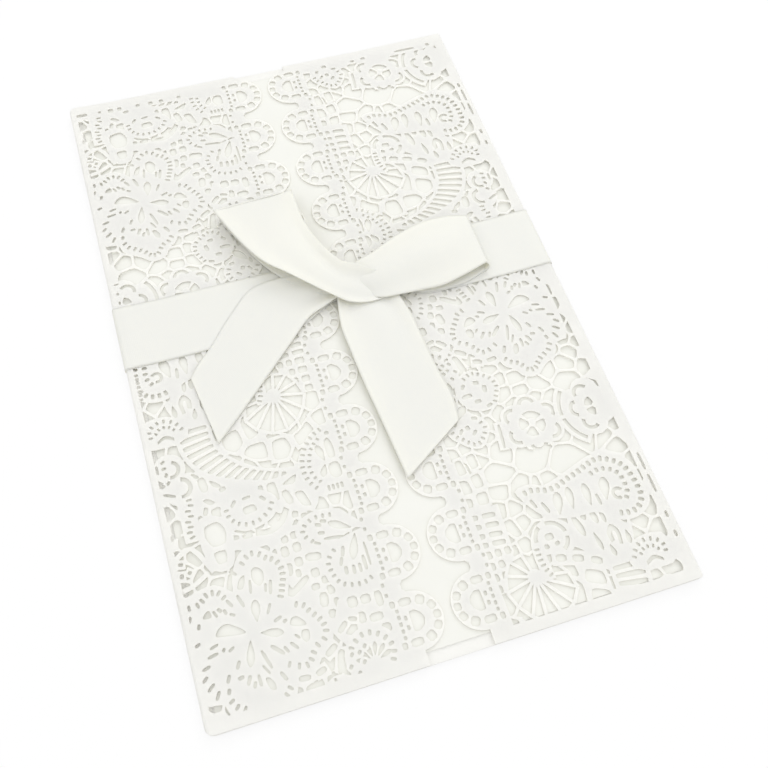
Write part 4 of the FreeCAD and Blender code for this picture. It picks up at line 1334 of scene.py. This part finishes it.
def bow(cloth):
    """Two tails and two loops; the upper loop's top layer runs on over the middle as the knot."""
    left_tail = [
        ((62.0, 81.4, 2.0), (62.0, 86.6, 1.8), (0.5, 0.3, 1.6, 0.1)),
        ((53.0, 78.4, 1.7), (54.4, 89.4, 1.5), (0.5, 0.35, 1.6, 0.15)),
        ((44.6, 76.8, 0.7), (49.6, 91.4, 1.0), (0.3, 0.2, 1.5, 0.2)),
        ((36.8, 78.0, 0.32), (44.2, 96.2, 0.7), (0.2, 0.1, 1.4, 0.2)),
        ((29.6, 84.4, 0.28), (37.4, 102.4, 0.4), (0.2, 0.03, 1.2, 0.2)),
        ((22.4, 92.4, 0.28), (30.6, 108.6, 0.3), (0.15, 0.0, 1.0, 0.0)),
        ((18.6, 96.0, 0.3), (24.4, 114.2, 0.25), (0.1, 0.0, 1.0, 0.0)),
        ((15.6, 99.8, 0.3), (18.3, 119.5, 0.3), (0.1, 0.0, 1.0, 0.0)),
    ]
    right_tail = [
        ((59.5, 84.0, 1.6), (73.0, 84.0, 1.6), (0.6, 0.2, 1.6, 0.0)),
        ((58.2, 90.2, 1.8), (75.0, 91.4, 1.6), (0.9, 0.35, 1.5, 0.05)),
        ((57.2, 96.6, 1.5), (76.5, 98.4, 1.3), (0.7, 0.25, 1.4, 0.05)),
        ((57.5, 104.6, 1.1), (77.1, 106.6, 1.0), (0.5, 0.12, 1.3, 0.05)),
        ((58.1, 114.4, 0.9), (77.8, 115.6, 0.8), (0.4, 0.05, 1.0, 0.1)),
        ((59.2, 126.6, 0.8), (78.9, 123.4, 0.7), (0.3, 0.0, 1.0, 0.1)),
        ((60.5, 142.0, 0.7), (78.2, 130.6, 0.6), (0.1, 0.0, 1.0, 0.1)),
    ]
    for rows in (left_tail, right_tail):
        grid, weave = cloth_grid(bow_rows(rows), 84, 24)
        cloth.add(grid, weave)

    upper_low = [
        ((64.0, 86.0, 1.2), (65.0, 81.0, 1.2), (0.3, 0.2, 1.6, 0.0)),
        ((57.6, 86.0, 1.2), (60.0, 78.6, 1.4), (0.3, 0.2, 1.6, 0.0)),
        ((52.0, 83.2, 1.0), (55.4, 72.0, 1.2), (0.2, 0.2, 1.6, 0.0)),
        ((46.8, 78.0, 0.8), (53.0, 66.0, 1.0), (0.1, 0.1, 1.6, 0.0)),
        ((42.0, 71.0, 0.7), (52.4, 60.0, 0.8), (0.0, 0.1, 1.6, 0.0)),
        ((38.0, 62.4, 0.6), (53.4, 55.6, 0.7), (0.0, 0.0, 1.6, 0.0)),
        ((34.6, 54.2, 0.5), (55.6, 51.8, 0.6), (0.0, 0.0, 1.6, 0.0)),
    ]
    upper_high = [
        ((33.4, 52.6, 3.6), (56.4, 51.0, 3.0), (0.3, 0.1, 1.5, 0.1)),
        ((37.4, 64.4, 5.2), (56.2, 56.2, 4.6), (0.4, 0.15, 1.3, 0.1)),
        ((41.8, 73.2, 5.8), (56.2, 62.2, 5.2), (0.5, 0.2, 1.3, 0.1)),
        ((47.2, 78.6, 5.6), (57.4, 68.2, 5.4), (0.7, 0.3, 1.4, 0.1)),
        ((52.6, 83.8, 5.0), (59.8, 74.4, 5.2), (0.9, 0.35, 1.5, 0.1)),
        ((57.9, 88.4, 4.0), (62.8, 78.8, 4.8), (1.0, 0.25, 1.6, 0.1)),
        ((61.4, 90.6, 2.8), (66.6, 80.6, 4.4), (1.0, 0.2, 1.6, 0.12)),
        ((66.0, 91.6, 2.0), (70.2, 83.2, 4.1), (1.1, 0.15, 1.6, 0.16)),
        ((70.8, 91.2, 1.2), (73.8, 84.4, 2.6), (0.7, 0.1, 1.6, 0.2)),
        ((75.0, 89.8, 0.5), (77.4, 85.0, 1.3), (0.2, 0.0, 1.6, 0.2)),
        ((78.0, 88.8, 0.3), (79.6, 86.6, 0.5), (0.0, 0.0, 1.6, 0.2)),
    ]
    turn = loop_end(upper_low[-1], upper_high[0], (-0.1, -1.0), 1.5)
    grid, weave = cloth_grid(bow_rows(upper_low + turn + upper_high), 230, 28)
    cloth.add(grid, weave)

    right_low = [
        ((68.0, 86.6, 1.2), (66.0, 80.0, 1.2), (0.3, 0.2, 1.6, 0.0)),
        ((74.0, 89.0, 0.9), (72.0, 79.0, 1.0), (0.3, 0.2, 1.6, 0.0)),
        ((81.0, 91.6, 0.6), (79.6, 75.2, 0.8), (0.2, 0.1, 1.6, 0.0)),
        ((88.4, 92.8, 0.5), (88.0, 73.2, 0.6), (0.1, 0.0, 1.6, 0.0)),
        ((95.0, 92.2, 0.4), (95.0, 72.6, 0.5), (0.0, 0.0, 1.6, 0.0)),
        ((100.6, 90.4, 0.4), (100.8, 72.4, 0.4), (0.0, 0.0, 1.6, 0.0)),
    ]
    right_high = [
        ((100.8, 89.4, 3.0), (100.6, 72.6, 3.2), (0.2, 0.0, 1.5, 0.5)),
        ((94.6, 91.2, 3.0), (94.6, 72.2, 4.4), (0.4, 0.1, 1.5, 0.5)),
        ((87.4, 92.6, 2.5), (87.0, 72.8, 4.9), (0.6, 0.2, 1.5, 0.5)),
        ((80.4, 92.2, 2.2), (78.4, 75.2, 4.6), (0.6, 0.2, 1.5, 0.5)),
        ((75.4, 92.0, 2.3), (71.8, 77.8, 3.9), (0.6, 0.15, 1.5, 0.5)),
        ((70.4, 91.2, 1.7), (66.4, 79.2, 3.2), (0.5, 0.15, 1.5, 0.5)),
        ((65.8, 88.8, 0.8), (62.8, 80.8, 2.2), (0.3, 0.1, 1.5, 0.5)),
    ]
    turn = loop_end(right_low[-1], right_high[0], (1.0, 0.05), 1.4)
    grid, weave = cloth_grid(bow_rows(right_low + turn + right_high), 170, 24)
    cloth.add(grid, weave)
# ------------------------------------------------------------------ materials

def new_material(name):
    """Material with an empty node tree but for its output and one surface shader."""
    material = bpy.data.materials.new(name)
    material.use_nodes = True
    nodes = material.node_tree.nodes
    nodes.clear()
    output = nodes.new("ShaderNodeOutputMaterial")
    surface = nodes.new("ShaderNodeBsdfPrincipled")
    material.node_tree.links.new(surface.outputs[0], output.inputs[0])
    return material, nodes, material.node_tree.links, surface


def noise(nodes, links, place, scale, detail=4.0, rough=0.6):
    node = nodes.new("ShaderNodeTexNoise")
    node.inputs["Scale"].default_value = scale
    node.inputs["Detail"].default_value = detail
    node.inputs["Roughness"].default_value = rough
    links.new(place, node.inputs["Vector"])
    return node


def blended(nodes, links, factor, low, high):
    """Colour between two, by a factor."""
    ramp = nodes.new("ShaderNodeValToRGB")
    ramp.color_ramp.elements[0].position = 0.3
    ramp.color_ramp.elements[0].color = (*low, 1.0)
    ramp.color_ramp.elements[1].position = 0.7
    ramp.color_ramp.elements[1].color = (*high, 1.0)
    links.new(factor, ramp.inputs[0])
    return ramp


def ranged(nodes, links, value, low, high):
    node = nodes.new("ShaderNodeMapRange")
    node.inputs["To Min"].default_value = low
    node.inputs["To Max"].default_value = high
    links.new(value, node.inputs["Value"])
    return node


def bumped(nodes, links, surface, height, distance, strength, before=None):
    node = nodes.new("ShaderNodeBump")
    node.inputs["Distance"].default_value = distance
    node.inputs["Strength"].default_value = strength
    links.new(height, node.inputs["Height"])
    if before is not None:
        links.new(before.outputs[0], node.inputs["Normal"])
    links.new(node.outputs[0], surface.inputs["Normal"])
    return node


def let_through(nodes, links, surface, colour, share):
    """Lets a share of the light pass through a thin sheet."""
    glow = nodes.new("ShaderNodeBsdfTranslucent")
    glow.inputs["Color"].default_value = colour
    mix = nodes.new("ShaderNodeMixShader")
    mix.inputs[0].default_value = share
    links.new(surface.outputs[0], mix.inputs[1])
    links.new(glow.outputs[0], mix.inputs[2])
    output = next(node for node in nodes if node.type == "OUTPUT_MATERIAL")
    links.new(mix.outputs[0], output.inputs[0])


# Light that has passed through white paper comes out a little warm.
THROUGH_PAPER = (1.0, 0.99, 0.95, 1.0)


def paper_material(name, low, high, rough_low, rough_high, sheen, through):
    """Smooth card, faintly cloudy, with pressed fibre; through is the share of light that it lets pass."""
    material, nodes, links, surface = new_material(name)
    place = nodes.new("ShaderNodeTexCoord").outputs["Object"]
    cloud = noise(nodes, links, place, 60.0, 5.0)
    fibre = noise(nodes, links, place, 2600.0, 3.0, 0.7)
    coarse = noise(nodes, links, place, 700.0, 3.0, 0.6)
    colour = blended(nodes, links, cloud.outputs[0], low, high)
    links.new(colour.outputs[0], surface.inputs["Base Color"])
    if through:
        let_through(nodes, links, surface, THROUGH_PAPER, through)
    links.new(ranged(nodes, links, coarse.outputs[0], rough_low, rough_high).outputs[0],
              surface.inputs["Roughness"])
    surface.inputs["Specular IOR Level"].default_value = 0.4
    surface.inputs["Sheen Weight"].default_value = sheen
    surface.inputs["Sheen Roughness"].default_value = 0.5
    first = bumped(nodes, links, surface, coarse.outputs[0], 0.00004, 0.5)
    bumped(nodes, links, surface, fibre.outputs[0], 0.00002, 0.5, first)
    return material


def satin_material(name):
    """Satin ribbon: long fine threads and a crosswise ground."""
    material, nodes, links, surface = new_material(name)
    weave = nodes.new("ShaderNodeUVMap")
    weave.uv_map = "weave"
    split = nodes.new("ShaderNodeSeparateXYZ")
    links.new(weave.outputs[0], split.inputs[0])
    threads = nodes.new("ShaderNodeTexWave")
    threads.wave_type = "BANDS"
    threads.bands_direction = "Y"
    threads.inputs["Scale"].default_value = 0.9
    threads.inputs["Distortion"].default_value = 0.6
    threads.inputs["Detail"].default_value = 2.0
    threads.inputs["Detail Scale"].default_value = 2.0
    links.new(weave.outputs[0], threads.inputs["Vector"])
    ground = nodes.new("ShaderNodeTexWave")
    ground.wave_type = "BANDS"
    ground.bands_direction = "X"
    ground.inputs["Scale"].default_value = 0.7
    ground.inputs["Distortion"].default_value = 1.0
    links.new(weave.outputs[0], ground.inputs["Vector"])
    stretch = nodes.new("ShaderNodeMapping")
    stretch.inputs["Scale"].default_value = (0.06, 1.6, 1.0)
    links.new(weave.outputs[0], stretch.inputs["Vector"])
    slub = noise(nodes, links, stretch.outputs[0], 1.2, 4.0)
    place = nodes.new("ShaderNodeTexCoord").outputs["Object"]
    cloud = noise(nodes, links, place, 45.0, 3.0)
    mixed = nodes.new("ShaderNodeMath")
    mixed.operation = "MULTIPLY_ADD"
    mixed.inputs[1].default_value = 0.6
    links.new(slub.outputs[0], mixed.inputs[0])
    links.new(ranged(nodes, links, cloud.outputs[0], 0.0, 0.4).outputs[0], mixed.inputs[2])
    colour = blended(nodes, links, mixed.outputs[0], (0.965, 0.98, 0.975), (0.985, 0.992, 0.988))
    links.new(colour.outputs[0], surface.inputs["Base Color"])
    let_through(nodes, links, surface, (1.0, 0.95, 0.66, 1.0), 0.26)
    links.new(ranged(nodes, links, slub.outputs[0], 0.36, 0.5).outputs[0], surface.inputs["Roughness"])
    surface.inputs["Specular IOR Level"].default_value = 0.55
    surface.inputs["Sheen Weight"].default_value = 0.25
    surface.inputs["Sheen Roughness"].default_value = 0.35
    first = bumped(nodes, links, surface, ground.outputs["Fac"], 0.00003, 0.25)
    second = bumped(nodes, links, surface, threads.outputs["Fac"], 0.00004, 0.35, first)
    bumped(nodes, links, surface, slub.outputs[0], 0.00008, 0.35, second)
    return material


# ------------------------------------------------------------------ pieces

ivory = paper_material("inner_card_paper", (0.815, 0.815, 0.765), (0.84, 0.84, 0.795), 0.6, 0.75, 0.0, 0.0)
lace_paper = paper_material("lace_card_paper", (0.965, 0.965, 0.945), (0.985, 0.985, 0.97), 0.5, 0.62, 0.1,
                            0.36)
lace_edge = paper_material("lace_cut_edge", (0.965, 0.96, 0.935), (0.985, 0.98, 0.96), 0.7, 0.85, 0.0, 0.7)
# Painted shade: the card's outer cut edges are coloured darker than the paper to stand in for the shade on
# them.
painted_shade_rim = paper_material("painted_shade_rim_edge", (0.62, 0.61, 0.57), (0.7, 0.69, 0.65), 0.8, 0.9, 0.0, 0.0)
satin = satin_material("satin_ribbon_cloth")

vertices, top, bottom, walls = wrap_mesh()
# The walls of the card's ends are the sheet's own rim, the others are cut by the lace. The rim walls take a
# darker colour, painted shade for the shade that falls on the card's outer edges.
ends = [min(abs(vertices[wall[0]][1]), abs(vertices[wall[1]][1])) > CARD_HEIGHT / 2 - RIM for wall in walls]
slots = [0] * (len(top) + len(bottom)) + [2 if end else 1 for end in ends]
wrap = make_object("lace_card_cut", vertices, top + bottom + walls, [lace_paper, lace_edge, painted_shade_rim], slots)
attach(wrap, "root")
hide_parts("lace_wrap")

cloth = Cloth()
band(cloth)
bow(cloth)
ribbon = make_object("satin_bow", cloth.vertices, cloth.faces, [satin], smooth_faces=True)
layer = ribbon.data.uv_layers.new(name="weave")
uses = np.zeros(len(ribbon.data.loops), int)
ribbon.data.loops.foreach_get("vertex_index", uses)
layer.data.foreach_set("uv", np.array(cloth.weave)[uses].ravel())
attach(ribbon, "root")
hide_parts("ribbon")

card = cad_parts["inner_card"]
card.data.materials.clear()
card.data.materials.append(ivory)

# ------------------------------------------------------------------ floor, light and camera

# Share of the floor that shows as plain white; the rest carries the card's shadow.
FLOOR_GLOW = 0.8
# Strength of the sky at the horizon, and how much it gains by straight overhead.
SKY_HORIZON = 0.42
SKY_RISE = 0.95


def seen_directly(nodes, links):
    """One for rays from the camera and for those mirrored or bent on their way from it, else nought."""
    path = nodes.new("ShaderNodeLightPath")
    value = path.outputs["Is Camera Ray"]
    for name in ("Is Glossy Ray", "Is Transmission Ray"):
        larger = nodes.new("ShaderNodeMath")
        larger.operation = "MAXIMUM"
        links.new(value, larger.inputs[0])
        links.new(path.outputs[name], larger.inputs[1])
        value = larger.outputs[0]
    return value


floor_mesh = bpy.data.meshes.new("floor")
floor_mesh.from_pydata([(-3, -3, 0), (3, -3, 0), (3, 3, 0), (-3, 3, 0)], [], [(0, 1, 2, 3)])
floor = bpy.data.objects.new("floor", floor_mesh)
floor.location.z = -0.0004
bpy.context.scene.collection.objects.link(floor)
white, nodes, links, surface = new_material("floor_white")
surface.inputs["Base Color"].default_value = (0.9, 0.9, 0.9, 1.0)
surface.inputs["Roughness"].default_value = 0.8
pale = nodes.new("ShaderNodeEmission")
pale.inputs["Color"].default_value = (1.0, 1.0, 1.0, 1.0)
pale.inputs["Strength"].default_value = 1.0
share = nodes.new("ShaderNodeMath")
share.operation = "MULTIPLY"
share.inputs[1].default_value = FLOOR_GLOW
links.new(seen_directly(nodes, links), share.inputs[0])
over = nodes.new("ShaderNodeMixShader")
links.new(share.outputs[0], over.inputs[0])
links.new(surface.outputs[0], over.inputs[1])
links.new(pale.outputs[0], over.inputs[2])
output = next(node for node in nodes if node.type == "OUTPUT_MATERIAL")
links.new(over.outputs[0], output.inputs[0])
floor_mesh.materials.append(white)

world = bpy.data.worlds.new("studio")
bpy.context.scene.world = world
world.use_nodes = True
nodes, links = world.node_tree.nodes, world.node_tree.links
ambient = nodes["Background"]
ambient.inputs["Color"].default_value = (1.0, 1.0, 1.0, 1.0)
# The sky is brightest overhead.
heading = nodes.new("ShaderNodeSeparateXYZ")
links.new(nodes.new("ShaderNodeTexCoord").outputs["Generated"], heading.inputs[0])
height = nodes.new("ShaderNodeMath")
height.operation = "MULTIPLY_ADD"
height.inputs[1].default_value = SKY_RISE
height.inputs[2].default_value = SKY_HORIZON
links.new(heading.outputs["Z"], height.inputs[0])
links.new(height.outputs[0], ambient.inputs["Strength"])
backdrop = nodes.new("ShaderNodeBackground")
backdrop.inputs["Color"].default_value = (1.0, 1.0, 1.0, 1.0)
backdrop.inputs["Strength"].default_value = 1.0
either = nodes.new("ShaderNodeMixShader")
links.new(seen_directly(nodes, links), either.inputs[0])
links.new(ambient.outputs[0], either.inputs[1])
links.new(backdrop.outputs[0], either.inputs[2])
links.new(either.outputs[0], nodes["World Output"].inputs[0])


def lamp(name, place, aim, size, power):
    """Round white lamp that faces a point."""
    data = bpy.data.lights.new(name, "AREA")
    data.shape = "DISK"
    data.size = size
    data.energy = power
    obj = bpy.data.objects.new(name, data)
    obj.location = place
    obj.rotation_mode = "QUATERNION"
    obj.rotation_quaternion = (Vector(aim) - Vector(place)).to_track_quat("-Z", "Y")
    bpy.context.scene.collection.objects.link(obj)


lamp("key", (0.55, 0.75, 0.75), (0.0, 0.0, 0.0), 0.6, 1.8)

scene = bpy.context.scene
scene.view_settings.view_transform = "Standard"
# Where the camera stands, in metres, how it is turned, in degrees, and its sideways shift.
CAMERA_PLACE = (-0.0385, -0.1118, 0.2004)
CAMERA_TURN = (26.04, -1.5, -17.24)
CAMERA_SHIFT = 0.041
camera_data = bpy.data.cameras.new("camera")
camera_data.lens = 40.0
camera_data.sensor_width = 36.0
camera_data.shift_x = CAMERA_SHIFT
camera_data.clip_start = 0.005
camera = bpy.data.objects.new("camera", camera_data)
camera.location = CAMERA_PLACE
camera.rotation_euler = [math.radians(turn) for turn in CAMERA_TURN]
scene.collection.objects.link(camera)
scene.camera = camera
